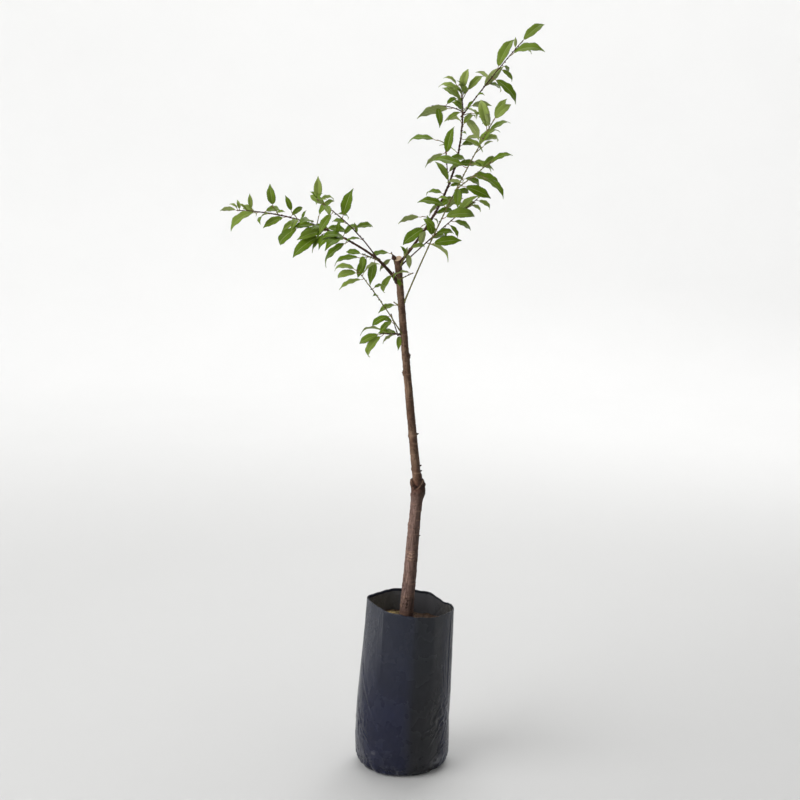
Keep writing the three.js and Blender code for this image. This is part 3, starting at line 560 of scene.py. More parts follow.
def is_clear(leaf, own_limbs, grown):
    """Whether a leaf keeps clear of the trunk and of every limb outside its own mass."""
    points = blade_points(leaf, (0.1, 0.3, 0.5, 0.7, 0.9, 1)).reshape(-1, 3)
    height = np.clip(points[:, 2], TRUNK_FOOT[1], TRUNK_HEAD[1])
    gap = np.linalg.norm(points - trunk_centre(height), axis=1)
    if np.any(gap < trunk_radius(height, 0) + LIMB_CLEARANCE):
        return False
    return not any(np.any(distance_to_path(points, path) < path["limb"]["foot"] + LIMB_CLEARANCE)
                   for name, path in grown.items() if name not in own_limbs)


def leaf_tree(leaf):
    """A coarse blade, for testing whether two leaves cross."""
    rows = blade_points(leaf, (0.06, 0.25, 0.45, 0.65, 0.85, 1))
    faces = [(corner, corner + 1, corner + 4, corner + 3)
             for row in range(len(rows) - 1) for corner in (row * 3, row * 3 + 1)]
    return BVHTree.FromPolygons(rows.reshape(-1, 3).tolist(), faces, epsilon=0.5)


def settle_leaf(joint, along, item, seed, index, own_limbs, grown, placed):
    """A leaf that would touch a limb or another leaf leans to the front or the back, or is
    left out."""
    word = read_leaf(item)
    for extra_lean in LEANS:
        leaf = place_leaf(joint, along, word, seed, index, extra_lean)
        room = leaf_tree(leaf)
        crossed = any(room.overlap(other) for _, other in placed)
        if not crossed and is_clear(leaf, own_limbs, grown):
            return leaf, room
    return None, None


def grow_leaves(grown):
    """All leaves of the tree. Each knows how near its shoot's tip it grows."""
    placed = []

    def grow_group(names, name, count, group, draw):
        limb, points = grown[name]["limb"], grown[name]["points"]
        row = min(grown[name]["first_joint"] + count, len(points) - 1)
        along = unit(points[row] - points[row - 1])
        for place, item in enumerate(group.split("/")):
            leaf, room = settle_leaf(points[row], along, item, limb["seed"], draw + place,
                                     names, grown, placed)
            if leaf:
                # Only long shoots are still young at the tip.
                groups = len(limb["word"].split())
                leaf["youth"] = min(1, (count + 1) / groups) * min(1, limb["length"] / 200)
                placed.append((leaf, room))

    for names in MASSES.values():
        for name in names:
            for count, group in enumerate(LIMBS[name]["word"].split()):
                if group != ".":
                    grow_group(names, name, count, group, count * LEAVES_AT_JOINT)
    for names in MASSES.values():
        for name in names:
            joints = len(grown[name]["points"]) - grown[name]["first_joint"]
            for count, group in CROWDED_JOINTS.get(name, ()):
                draw = (joints + count % joints) * LEAVES_AT_JOINT
                grow_group(names, name, count % joints, group, draw)
    return [leaf for leaf, _ in placed]


def smooth_path(points):
    """A smooth line through points, and each of its points' share of the way between them."""
    points = np.array(points)
    before = np.vstack((2 * points[0] - points[1], points, 2 * points[-1] - points[-2]))
    line, shares = [], []
    for row in range(len(points) - 1):
        a, b, c, d = before[row:row + 4]
        steps = max(1, round(np.linalg.norm(c - b) / LINE_STEP))
        for step in range(steps):
            t = step / steps
            line.append(0.5 * (2 * b + (c - a) * t + (2 * a - 5 * b + 4 * c - d) * t ** 2
                               + (3 * b - a - 3 * c + d) * t ** 3))
            shares.append(row + t)
    return np.array(line + [points[-1]]), np.array(shares + [len(points) - 1])


# Meshes

def link_object(name, data):
    thing = bpy.data.objects.new(name, data)
    bpy.context.scene.collection.objects.link(thing)
    return thing


def make_object(name, points, faces=(), material=None, edges=()):
    """A smooth mesh object from points in millimetres, at the origin."""
    mesh = bpy.data.meshes.new(name)
    faces = [tuple(map(int, face)) for face in faces]
    mesh.from_pydata((np.asarray(points) * MM).tolist(), edges, faces)
    if material:
        mesh.materials.append(material)
    mesh.polygons.foreach_set("use_smooth", [True] * len(mesh.polygons))
    mesh.update()
    return link_object(name, mesh)


def store_values(thing, domain="POINT", **fields):
    """Stores numbers, or rows of two or three, on a mesh object's points or corners."""
    for name, values in fields.items():
        values = np.asarray(values, np.float32)
        width = values.size // len(values)
        kind, field = (("FLOAT", "value"), ("FLOAT2", "vector"), ("FLOAT_VECTOR", "vector"))[width - 1]
        attribute = thing.data.attributes.new(name, kind, domain)
        attribute.data.foreach_set(field, values.ravel())


def ring_faces(rows, sides):
    """Quads between rows of closed rings."""
    faces = []
    for row in range(rows - 1):
        for side in range(sides):
            after = (side + 1) % sides
            faces.append((row * sides + side, row * sides + after,
                          (row + 1) * sides + after, (row + 1) * sides + side))
    return faces


def fan_faces(hub, start, sides, step=1):
    """Triangles from a hub to a ring that starts at a point's index, turned over by step -1."""
    return [(hub, *(start + side, start + (side + 1) % sides)[::step]) for side in range(sides)]


def closed_faces(rows, sides):
    """A tube of rings, closed by a hub at its first ring and one at its last."""
    hub = rows * sides
    return (ring_faces(rows, sides) + fan_faces(hub, 0, sides, -1)
            + fan_faces(hub + 1, hub - sides, sides))


def finish_piece(piece, slot, *nodes):
    """Sets a piece on its body and hides the nodes it stands for. Its slot is not used."""
    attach(piece, BODY)
    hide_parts(*nodes)


# Nodes

class Term:
    """A node's output, which sums and products take as they take a number."""

    def __init__(self, write, socket):
        self.write, self.socket = write, socket

    def __getitem__(self, name):
        """Another output of the same node."""
        return Term(self.write, self.socket.node.outputs[name])

    def __add__(self, other):
        return reckon("ADD", self, other)

    def __sub__(self, other):
        return reckon("SUBTRACT", self, other)

    def __rsub__(self, other):
        return reckon("SUBTRACT", other, self)

    def __mul__(self, other):
        return reckon("MULTIPLY", self, other)

    def __truediv__(self, other):
        return reckon("DIVIDE", self, other)

    def __rtruediv__(self, other):
        return reckon("DIVIDE", other, self)


class Writer:
    """Writes nodes into a tree, so that its formulas read as such."""

    def __init__(self, tree):
        self.tree = tree

    def put(self, socket, value):
        if isinstance(value, Term):
            self.tree.links.new(value.socket, socket)
        else:
            socket.default_value = (*value, 1.0) if socket.type == "RGBA" else value

    def add(self, kind, *terms, **values):
        """A new node's first output. Terms fill its inputs in order. A value whose name has a
        capital fills the input of that name, and any other is a setting of the node."""
        column, row = divmod(len(self.tree.nodes), 6)
        node = self.tree.nodes.new(kind)
        node.location = (column * 190 - 900, 500 - row * 190)
        inputs = dict(enumerate(terms))
        for key, value in values.items():
            if key[0].isupper():
                inputs[key.replace("_", " ")] = value
            else:
                setattr(node, key, value)
        for key, value in inputs.items():
            self.put(node.inputs[key], value)
        return Term(self, next((out for out in node.outputs if out.enabled), None))

    def passage(self, value, start, end, low=0.0, high=1.0):
        """A soft passage from low to high, as a value goes from start to end."""
        return self.add("ShaderNodeMapRange", value, start, end, low, high,
                        interpolation_type="SMOOTHSTEP")

    def attribute(self, name, kind="FLOAT"):
        return self.add("GeometryNodeInputNamedAttribute", name, data_type=kind)

    def store(self, geometry, name, kind, value, domain="POINT"):
        return self.add("GeometryNodeStoreNamedAttribute", Geometry=geometry, Name=name,
                        Value=value, data_type=kind, domain=domain)

    def set_out(self, points, shape, **values):
        """Copies of an object on points."""
        shape = self.add("GeometryNodeObjectInfo", Object=shape)["Geometry"]
        return self.add("GeometryNodeInstanceOnPoints", Points=points, Instance=shape, **values)


def reckon(operation, *terms):
    """A node that works on numbers or vectors. A vector is scaled by a number."""
    write = next(term.write for term in terms if isinstance(term, Term))
    vectors = [isinstance(term, tuple) or isinstance(term, Term) and term.socket.type == "VECTOR"
               for term in terms]
    if any(vectors) and not all(vectors):
        return write.add("ShaderNodeVectorMath", Vector=terms[0], Scale=terms[1],
                         operation="SCALE")
    kind = "ShaderNodeVectorMath" if all(vectors) else "ShaderNodeMath"
    return write.add(kind, *terms, operation=operation)


sine, cosine, absolute = (partial(reckon, name) for name in ("SINE", "COSINE", "ABSOLUTE"))


def new_tree(name, **inputs):
    """A Geometry Nodes tree with named inputs by kind, its writer and its given values."""
    tree = bpy.data.node_groups.new(name, "GeometryNodeTree")
    for label, kind in {"Geometry": "Geometry", **inputs}.items():
        tree.interface.new_socket(label, in_out="INPUT", socket_type="NodeSocket" + kind)
    tree.interface.new_socket("Geometry", in_out="OUTPUT", socket_type="NodeSocketGeometry")
    write = Writer(tree)
    return write, write.add("NodeGroupInput")


def close_tree(write, geometry, *materials):
    """Ends a tree: instances made real, shaded smooth and given each material where it goes."""
    result = write.add("GeometryNodeRealizeInstances", geometry)
    result = write.add("GeometryNodeSetShadeSmooth", result)
    for material, where in materials:
        result = write.add("GeometryNodeSetMaterial", Geometry=result, Selection=where,
                           Material=material)
    write.add("NodeGroupOutput", result)
    return write.tree


def run_tree(source, tree, name, **values):
    """Runs a tree on an object with inputs by name, and returns the plain mesh object."""
    modifier = source.modifiers.new(tree.name, "NODES")
    modifier.node_group = tree
    for item in tree.interface.items_tree:
        if item.name in values:
            modifier[item.identifier] = values[item.name]
    graph = bpy.context.evaluated_depsgraph_get()
    mesh = bpy.data.meshes.new_from_object(source.evaluated_get(graph))
    old = source.data
    bpy.data.objects.remove(source)
    bpy.data.meshes.remove(old)
    mesh.name = name
    return link_object(name, mesh)


def limb_tree():
    """Sweeps a round section along lines, with the thickness stored on their points."""
    write, given = new_tree("limb_sweep", Sides="Int", Material="Material")
    thick = write.attribute("thick")
    curve = write.add("GeometryNodeMeshToCurve", given["Geometry"])
    profile = write.add("GeometryNodeCurvePrimitiveCircle", Resolution=given["Sides"], Radius=1.0)
    share = write.add("GeometryNodeSplineParameter")["Factor"]
    profile = write.store(profile, "around", "FLOAT", share)
    sweep = write.add("GeometryNodeCurveToMesh", Curve=curve, Profile_Curve=profile, Scale=thick,
                      Fill_Caps=True)
    turn = write.attribute("around") * TURN
    place = write.add("ShaderNodeCombineXYZ", cosine(turn) * thick, sine(turn) * thick,
                      write.attribute("along"))
    stored = write.store(sweep, "bark_place", "FLOAT_VECTOR", place)
    return close_tree(write, stored, (given["Material"], True))


def blade_tree():
    """Sets a flat unit blade on each leaf's foot, and folds, bends, twists and waves it there."""
    write, given = new_tree("leaf_blades", Blade="Object", Thickness="Float", Waviness="Float",
                            Top="Material", Underside="Material")
    blades = write.set_out(given["Geometry"], given["Blade"])
    blades = write.add("GeometryNodeRealizeInstances", blades)
    along, across, side, breadth, body, length, half_width, arc, fold, twist, phase, hook = (
        write.attribute(name) for name in ("u", "v", "side", "breadth", "body", "length",
                                           "half_width", "arc", "fold", "twist", "phase", "hook"))
    chord, face, level, foot = (write.attribute(name, "FLOAT_VECTOR")
                                for name in ("chord", "face", "across", "foot"))
    half = breadth * half_width
    # The rib is an arc whose chord runs along the leaf.
    half_arc = arc * 0.5
    angle = half_arc - arc * along
    scale = length / arc
    ahead = scale * (sine(half_arc) - sine(angle))
    raised = scale * (cosine(angle) - cosine(half_arc))
    upright = face * cosine(angle) - chord * sine(angle)
    # The blade turns about its rib towards its tip.
    turn = twist * along
    out = level * cosine(turn) + upright * sine(turn)
    over = upright * cosine(turn) - level * sine(turn)
    # Its halves rise from the rib and round over, and its margins wave.
    square = across * across
    rounding = absolute(across) * 1.35 - square * 0.35
    wave = sine(along * 19.0 + (phase + across * 1.3)) * (square * given["Waviness"])
    lift = half * (sine(fold) * rounding + wave)
    # The drawn-out tip hooks down.
    past = reckon("MAXIMUM", along - 0.6, 0.0)
    lift = lift - past * past * (length * hook)
    rise = lift + side * body * given["Thickness"]
    spread = across * half * cosine(fold)
    place = foot + chord * ahead + face * raised + out * spread + over * rise
    blades = write.add("GeometryNodeSetPosition", Geometry=blades, Position=place)
    return close_tree(write, blades, (given["Top"], True),
                      (given["Underside"], reckon("LESS_THAN", side, 0.0)))


def crumb_tree():
    """Scatters crumbs over a surface, each turned and sized by chance from a fixed seed."""
    write, given = new_tree("soil_crumbs", Crumb="Object", Density="Float", Largest="Float",
                            Seed="Int", Material="Material")
    places = write.add("GeometryNodeDistributePointsOnFaces", Mesh=given["Geometry"],
                       Density=given["Density"], Seed=given["Seed"])
    share = write.add("FunctionNodeRandomValue", data_type="FLOAT", Min=0.15, Max=1.0,
                      Seed=given["Seed"])
    size = (reckon("POWER", share, 2.5) + 0.12) * given["Largest"]
    turn = write.add("FunctionNodeRandomValue", data_type="FLOAT_VECTOR", Max=(6.28, 6.28, 6.28))
    crumbs = write.set_out(places, given["Crumb"], Rotation=turn, Scale=size)
    tone = write.add("FunctionNodeRandomValue", data_type="FLOAT", Seed=3)
    return close_tree(write, write.store(crumbs, "tone", "FLOAT", tone, "INSTANCE"),
                      (given["Material"], True))


def bud_tree():
    """Sets a bud on each point, pointing along the stored direction."""
    write, given = new_tree("buds", Bud="Object", Material="Material")
    aim = write.add("FunctionNodeAlignRotationToVector", axis="Z",
                    Vector=write.attribute("aim", "FLOAT_VECTOR"))
    buds = write.set_out(given["Geometry"], given["Bud"], Rotation=aim,
                         Scale=write.attribute("size"))
    return close_tree(write, buds, (given["Material"], True))


# Shader groups

def shader_group(name, outputs, **inputs):
    """A shader group with its place and numbers as inputs, its writer and its given values."""
    tree = bpy.data.node_groups.new(name, "ShaderNodeTree")
    tree.interface.new_socket("Vector", in_out="INPUT", socket_type="NodeSocketVector")
    for label, default in inputs.items():
        socket = tree.interface.new_socket(label, in_out="INPUT", socket_type="NodeSocketFloat")
        socket.default_value = default
    for label in outputs:
        tree.interface.new_socket(label, in_out="OUTPUT", socket_type="NodeSocketFloat")
    write = Writer(tree)
    return write, write.add("NodeGroupInput")


def mottle_group():
    """Cloudy patches from 0 to 1, at one size, with a soft edge around a level."""
    write, given = shader_group("mottle", ("Mask",), Size=0.01, Level=0.5, Softness=0.15,
                                Detail=3.0)
    cloud = write.add("ShaderNodeTexNoise", Vector=given["Vector"], Scale=1.0 / given["Size"],
                      Detail=given["Detail"])
    mask = write.passage(cloud, given["Level"] - given["Softness"],
                         given["Level"] + given["Softness"])
    write.add("NodeGroupOutput", Mask=mask)


def grain_group():
    """Fibres drawn out along one axis, as a height from 0 to 1."""
    write, given = shader_group("grain", ("Height",), Across=0.0015, Stretch=8.0)
    stretch = write.add("ShaderNodeCombineXYZ", 1.0, 1.0, 1.0 / given["Stretch"])
    fibres = write.add("ShaderNodeTexNoise", Vector=given["Vector"] * stretch,
                       Scale=1.0 / given["Across"], Detail=4.0, Roughness=0.6)
    write.add("NodeGroupOutput", Height=write.passage(fibres, 0.34, 0.66))


def vein_group():
    """The rib and side veins of a blade from its own map: along in X, across from -1 to 1 in Y."""
    write, given = shader_group("veins", ("Rib", "Veins"), Count=9.0, Slant=0.28, Width=0.16)
    place = write.add("ShaderNodeSeparateXYZ", given["Vector"])
    reach = absolute(place["Y"])
    phase = reckon("FRACT", (place["X"] - reach * given["Slant"]) * given["Count"])
    write.add("NodeGroupOutput", Rib=write.passage(reach, 0.09, 0.02),
              Veins=write.passage(absolute(phase - 0.5), given["Width"], 0.0))


SHADER_GROUPS = {"mottle": mottle_group, "grain": grain_group, "veins": vein_group}


class Finish(Writer):
    """A material in the making."""

    def __init__(self, name, roughness, specular):
        self.material = bpy.data.materials.new(name)
        self.material.use_nodes = True
        super().__init__(self.material.node_tree)
        self.shader = self.tree.nodes["Principled BSDF"].inputs
        self.shader["Roughness"].default_value = roughness
        self.shader["Specular IOR Level"].default_value = specular

    def place(self):
        """Where a point is on the object."""
        return self.add("ShaderNodeTexCoord")["Object"]

    def own(self, name, kind="Fac"):
        """An attribute of the piece."""
        return self.add("ShaderNodeAttribute", attribute_name=name)[kind]

    def group(self, name, place, **values):
        """A shader group's outputs. The group is made at its first use."""
        if name not in bpy.data.node_groups:
            SHADER_GROUPS[name]()
        return self.add("ShaderNodeGroup", node_tree=bpy.data.node_groups[name], Vector=place,
                        **values)

    def layers(self, base, *layers):
        """Colours laid over a base in order, each by its factor."""
        for factor, colour in layers:
            base = self.add("ShaderNodeMix", data_type="RGBA", Factor=factor, A=base, B=colour)
        return base

    def ramp(self, value, low, high):
        """A value from 0 to 1 set out between two limits."""
        return self.add("ShaderNodeMapRange", value, To_Min=low, To_Max=high)

    def done(self, colour, height=None, distance=0.0, strength=1.0, rough=None):
        """The material, with its colour, and where they vary its relief and roughness."""
        self.put(self.shader["Base Color"], colour)
        if height:
            self.put(self.shader["Normal"], self.add(
                "ShaderNodeBump", Strength=strength, Distance=distance, Height=height))
        if rough:
            self.put(self.shader["Roughness"], rough)
        return self.material


def shade(colour, factor):
    return tuple(channel * factor for channel in colour)


# Bag

def bag_middle(height):
    """The filled bag leans to the right above its lower third."""
    return BAG_LEAN * (np.maximum(0, height - BAG_LEAN_START) / (BAG_HEIGHT - BAG_LEAN_START))


def bag_radius(height):
    """The bag's outer radius, with the profile's corners rounded."""
    levels, radii = zip(*BAG_PROFILE)
    reach = np.minimum(8.0, height * 0.45)
    spread = np.linspace(-1, 1, 9)
    return sum(np.interp(height + step * reach, levels, radii) for step in spread) / len(spread)


def rim_height(angle):
    degrees, heights = zip(*RIM_HEIGHTS)
    return sum(np.interp((np.degrees(angle) + step) % 360, degrees, heights)
               for step in (-3, 0, 3)) / 3


def panel_share(angle, height):
    """How far the film's flat panels draw it in, as a share of the radius."""
    strength = 0.08 + 0.92 * smooth_step(height, 110, 325)
    share = np.zeros(len(angle))
    for middle, half, depth in FILM_PANELS:
        for soft in (-2.6, -0.9, 0.9, 2.6):
            away = np.abs(wrapped(np.degrees(angle) - middle + soft, 360))
            flat = 1 - math.cos(math.radians(half)) / np.cos(np.radians(np.minimum(away, half)))
            share = share + np.where(away < half, flat * depth, 0) * strength / 4
    return share


def ridges(angle, height, size, seed, soft):
    """Creases between slack patches of film, as long as the film is round."""
    return 1 - 3.2 * np.hypot(noise(polar(BAG_GRIP, angle, height), size, seed), soft)


def short_creases(count):
    """Creases dealt out by chance, most of them low on the film."""
    for line in range(count):
        start = 360 * chance(11, line)
        low = 6 + 300 * chance(12, line) ** 2.6
        slant = (chance(13, line) - 0.5) * (34 if low < 50 else 14)
        yield (start, low, start + slant, low + 12 + 60 * chance(14, line),
               0.9 + 1.1 * chance(15, line), 0.3 + 0.8 * chance(16, line))


def film_creases(angle, height, settings):
    """The film's creases, in millimetres, over directions and heights: soft upright folds, a few
    long slanting ones on the lower right, and short ones gathered at the underside."""
    around, girth = angle * BAG_GRIP, 2 * math.pi * BAG_GRIP
    depth = 0.9 * np.sin(5 * angle + 0.9 + height / 130) * smooth_step(height, 20, 120)
    crumple = settings.crumple / 0.0016
    degrees = np.degrees(angle) % 360
    sides = sum(strength * bell(wrapped(degrees - middle, 360), width)
                for middle, width, strength in SLACK_SIDES)
    slack = 0.06 + 0.24 * sides * (1 - 0.7 * smooth_step(height, 60, 220))
    foot = 1 - smooth_step(height, 8, 58)
    soft = 0.05 + 0.35 * smooth_step(height, 15, 70)
    depth = depth + crumple * (slack + 0.9 * foot) * (
        1.9 * ridges(angle, height * 0.8, 34, 71, soft)
        + (0.35 + 1.1 * foot) * ridges(angle, height * 1.3, 17, 72, soft)
        + 1.1 * foot * ridges(angle, height * 1.2, 8, 73, soft))
    # The film is crumpled on the lower right and, less, on the lower left.
    crushed = bell(degrees - 326, 17) * bell(height - 122, 32)
    crushed = crushed + 0.5 * bell(degrees - 200, 20) * bell(height - 105, 40)
    depth = depth + 1.5 * crumple * crushed * ridges(angle, height * 1.1, 12, 74, 0.06)
    for a, low, b, high, width, fold in (*FILM_FOLDS, *short_creases(settings.creases)):
        start = math.radians(a) * BAG_GRIP
        across = wrapped(around - start, girth)
        way = np.array((math.radians(b) * BAG_GRIP - start, high - low), float)
        reach = np.clip((across * way[0] + (height - low) * way[1]) / (way @ way), 0, 1)
        gap = np.hypot(across - reach * way[0], height - low - reach * way[1])
        fade = np.sin(math.pi * np.clip(reach * 0.9 + 0.05, 0, 1)) ** 0.6
        depth = depth + crumple * fold * fade * (bell(gap, width) - 0.45 * bell(gap, 3 * width))
    return depth


def film_points(angle, height, inset, settings):
    """Points of the film at directions, at a height measured below the rim."""
    height = np.full(len(angle), height)
    top = rim_height(angle) + 0.9 * noise(polar(BAG_GRIP, angle, 0), 11, 75)
    level = np.where(height > SOIL_LEVEL, SOIL_LEVEL + (height - SOIL_LEVEL) * (top - SOIL_LEVEL)
                     / (BAG_HEIGHT - SOIL_LEVEL), height)
    radius = bag_radius(height) * (1 - panel_share(angle, height)) - inset
    radius = radius + film_creases(angle, height, settings) * smooth_step(height, -3, 8)
    return polar(radius, angle, level) + np.array((bag_middle(height[0]), 0, 0))


def film_finish(settings, name, colour, high, dustiness):
    """Black polythene: soft gloss, fine crinkles, dust, most at the foot, and painted highlights:
    glints on folds near the foot and a paler patch on the upper left.
    """
    make = Finish(name, 0.27, 0.26)
    place = make.place()
    height = make.add("ShaderNodeSeparateXYZ", place)["Z"]
    scuffs = make.group("mottle", place, Size=0.018, Level=0.6, Softness=0.28, Detail=6.0)
    dusty = scuffs * make.add("ShaderNodeMapRange", height, From_Max=0.09,
                              To_Min=min(1.0, dustiness * 3), To_Max=dustiness)
    haze = make.group("mottle", place, Size=0.07, Softness=0.25)
    worn = shade((0.7, 0.74, 0.94), sum(colour) / 3)
    # Painted highlights, glints and a lit patch, are laid on in a pale dust colour.
    base = make.layers(colour, (haze, shade(colour, 1.45)), (make.own("worn"), worn),
                       (make.passage(height, 0.11, 0.3, 0, 0.5), high),
                       (make.own("rubbed"), shade(settings.dust, 1.6)), (dusty, settings.dust))
    crinkle = make.group("grain", place, Across=0.011, Stretch=1.6)
    fine = make.group("mottle", place, Size=0.0022, Softness=0.3)
    return make.done(base, crinkle + fine * 0.2, 0.002, 0.12,
                     make.ramp(dusty + haze * 0.2, 0.22, 0.58))


def build_bag(settings):
    """One closed skin: underside, wall, rim and inner wall down to below the soil."""
    angles = circle(BAG_SIDES)
    inner_foot = SOIL_LEVEL - INNER_FILM_DEPTH
    underside = np.linspace(0, 1, 9)[1:-1] * BAG_UNDERSIDE_RADIUS
    outer = np.concatenate(((0.0, 0.6, 1.6, 3.0, 5.0, 7.5, 10.5), np.linspace(14, BAG_HEIGHT, 150)))
    inner = np.linspace(BAG_HEIGHT, inner_foot, 26)
    rings = [polar(radius, angles, 0.0) for radius in underside]
    rings += [film_points(angles, height, 0, settings) for height in outer]
    rings += [film_points(angles, height, settings.film / MM, settings) for height in inner]
    hubs = np.array(((0, 0, 0), (bag_middle(inner_foot), 0, inner_foot)))
    piece = make_object("grow_bag_film", np.concatenate(rings + [hubs]),
                        closed_faces(len(rings), BAG_SIDES),
                        film_finish(settings, "grow_bag_film", settings.colour, settings.upper, 0.08))
    piece.data.materials.append(
        film_finish(settings, "dusty_film", settings.inside, settings.inside, 0.3))
    degrees = np.degrees(angles)
    worn = smooth_step(degrees, 267, 285) * (1 - smooth_step(degrees, 315, 335))
    worn = worn + smooth_step(degrees, 20, 50) * (1 - smooth_step(degrees, 95, 130))
    # Painted highlights: the peaks of sharp folds near the foot are painted pale as glints.
    points = np.concatenate(rings[len(underside):len(underside) + len(outer)])
    levels = np.repeat(np.clip(outer, 2, None), BAG_SIDES)
    around = np.tile(angles, len(outer))
    degrees = np.degrees(around)
    raised = film_creases(around, levels, settings)
    rubbed = 0.8 * smooth_step(raised, 0.8, 3.0) * (1 - smooth_step(levels, 15, 70))
    rubbed = rubbed * smooth_step(noise(points, 19, 77), -0.1, 0.4)
    # Painted light: the upper left of the film, where the light falls, is painted paler.
    lighter = bell((degrees - 204) % 360, 24) * smooth_step(levels, 150, 300)
    # Painted glints: two small pale spots low on the film, on the front right and the front left.
    glints = bell(degrees - 322, 11) * bell(levels - 24, 12)
    glints = glints + 0.8 * bell(degrees - 232, 12) * bell(levels - 42, 9)
    rubbed = rubbed + 0.13 * lighter + glints * smooth_step(noise(points, 7, 78), 0.08, 0.3)
    store_values(piece, worn=np.append(np.tile(worn, len(rings)), (0, 0)), rubbed=np.concatenate((
        np.zeros(len(underside) * BAG_SIDES), np.clip(rubbed, 0, 1),
        np.zeros(len(inner) * BAG_SIDES + len(hubs)))))
    inside = (len(rings) - len(inner) + 2) * BAG_SIDES
    for face in piece.data.polygons:
        face.material_index = int(min(face.vertices) >= inside and len(face.vertices) == 4)
    finish_piece(piece, "film", "grow_bag")


# Soil

def soil_finish(settings):
    """Damp crumbly soil, dry mossy patches behind the trunk, partly painted light, and reddish ones in
    front.
    """
    make = Finish("potting_soil", 0.92, 0.25)
    place = make.place()
    side = make.add("ShaderNodeSeparateXYZ", place)["X"]
    grains = make.group("mottle", place, Size=0.0035, Softness=0.2, Detail=6.0)
    mossy = make.group("mottle", place, Size=0.03, Level=0.52, Softness=0.1)
    mossy = mossy * make.passage(side, 0.012, -0.02) * make.ramp(grains, 0.15, 0.95)
    # Painted light: the mossy patches on the left are made pale partly to stand in for light, against
    # the shade of the bag's rim.
    base = make.layers(shade(settings.colour, 0.5), (grains, shade(settings.colour, 1.6)),
                       (make.own("tone") * 0.5, RED_CRUMB), (mossy, settings.lit_moss))
    return make.done(base, grains, 0.0016, 0.9)


def soil_points(settings, bag):
    """Rings of the soil's top and of a plug below it, inside the film, and its two hubs."""
    rim = film_points(circle(SOIL_SIDES), SOIL_LEVEL - 1.0, 1.2, bag)
    middle = np.array((bag_middle(SOIL_LEVEL), 0.0, 0.0))
    rings = []
    for depth in (SOIL_DEPTH, 13):
        row = rim.copy()
        row[:, 2] = SOIL_LEVEL - depth
        rings.append(middle + (row - middle) * np.array((0.97, 0.97, 1)))
    for share in np.linspace(1, 0.03, 46):
        row = middle + (rim - middle) * np.array((share, share, 0))
        fine = noise(row, 9, 1) * 0.35 + noise(row, 4, 2) * 0.2
        coarse = noise(row, 26, 3) * 0.5
        mound = 3.0 * bell(np.hypot(row[:, 0] - TRUNK_FOOT[0], row[:, 1]) - 14, 14)
        heaped = np.clip(-0.145 * (row[:, 0] - 9), -4.5, 5) * smooth_step(share, 0.15, 0.5)
        row[:, 2] = SOIL_LEVEL - 0.5 + settings.roughness / MM * (fine + coarse) + mound + heaped
        rings.append(row)
    hubs = middle + np.array(((0, 0, SOIL_LEVEL - SOIL_DEPTH), (0, 0, SOIL_LEVEL)))
    return np.concatenate(rings + [hubs]), closed_faces(len(rings), SOIL_SIDES)


def crumb_shape():
    """A rough lump one unit across, whose instances are the crumbs."""
    mesh = bpy.data.meshes.new("crumb")
    shape = bmesh.new()
    bmesh.ops.create_icosphere(shape, subdivisions=1, radius=0.5)
    for count, corner in enumerate(shape.verts):
        corner.co *= 0.75 + 0.5 * chance(21, count)
        corner.co.z *= 0.75
    shape.to_mesh(mesh)
    shape.free()
    return link_object("crumb", mesh)


def build_soil(settings, bag):
    finish = soil_finish(settings)
    points, faces = soil_points(settings, bag)
    piece = make_object("soil_surface", points, faces, finish)
    store_values(piece, tone=0.3 + 0.3 * noise(points, 12, 5))
    finish_piece(piece, "soil", "potting_soil")
    # Crumbs lie only on the top, inside its outermost rings.
    top = [face for face in faces if min(face) >= 5 * SOIL_SIDES]
    crumb = crumb_shape()
    crumbs = run_tree(make_object("crumb_bed", points, top, finish), crumb_tree(), "soil_crumbs",
                      Crumb=crumb, Density=float(settings.crumbs), Largest=settings.crumb_size,
                      Seed=7, Material=finish)
    bpy.data.objects.remove(crumb)
    finish_piece(crumbs, "soil", "potting_soil")


# Wood

def bark_finish(settings, name, main, pale, dark, rings):
    """Bark: pale skin, fine fibres, dark scars, painted shade, pale lenticels in rings round the wood.
    """
    make = Finish(name, 0.72, 0.18)
    place = make.own("bark_place", "Vector")
    skin = make.group("mottle", place, Size=0.022, Softness=0.14, Detail=5.0)
    fibres = make.group("grain", place, Across=0.0022, Stretch=9.0)
    spots = make.group("mottle", place, Size=0.006, Level=0.62, Softness=0.06, Detail=2.0)
    lenticels = make.group("mottle", place * (1.0, 1.0, 3.4), Size=0.0042, Level=rings,
                           Softness=0.03, Detail=1.0)
    stain = make.add("ShaderNodeSeparateXYZ", make.own("stain", "Vector"))
    # The stain's third part and the dark marks are partly painted shade: on the trunk's right side and
    # in its hollows.
    base = make.layers(
        main, (skin, pale), (make.own("stock") * 0.55, settings.stock), (fibres * 0.55, dark),
        (spots * 0.45, dark), (lenticels * 0.55, shade(pale, 1.25)), (stain["X"], DAMP_BARK),
        (stain["Y"], CALLUS_BARK), (stain["Z"], dark), (make.own("scar") * 0.8, shade(pale, 2.1)),
        (make.own("wear"), dark))
    return make.done(base, fibres + lenticels * 0.5, 0.0009, 0.8, make.ramp(skin, 0.62, 0.82))


def cut_finish(settings):
    """Cut wood: rings around the pith and small cracks."""
    make = Finish("cut_wood", 0.75, 0.3)
    place = make.own("ring_place", "Vector")
    rings = make.add("ShaderNodeTexWave", wave_type="RINGS", rings_direction="Z", Vector=place,
                     Scale=260.0, Distortion=2.0)["Fac"]
    stain = make.group("mottle", place, Size=0.004, Softness=0.2)
    base = make.layers(settings.cut, (rings, shade(settings.cut, 0.7)),
                       (stain * 0.35, shade(settings.cut, 0.45)))
    return make.done(base, rings, 0.0003, 0.6)


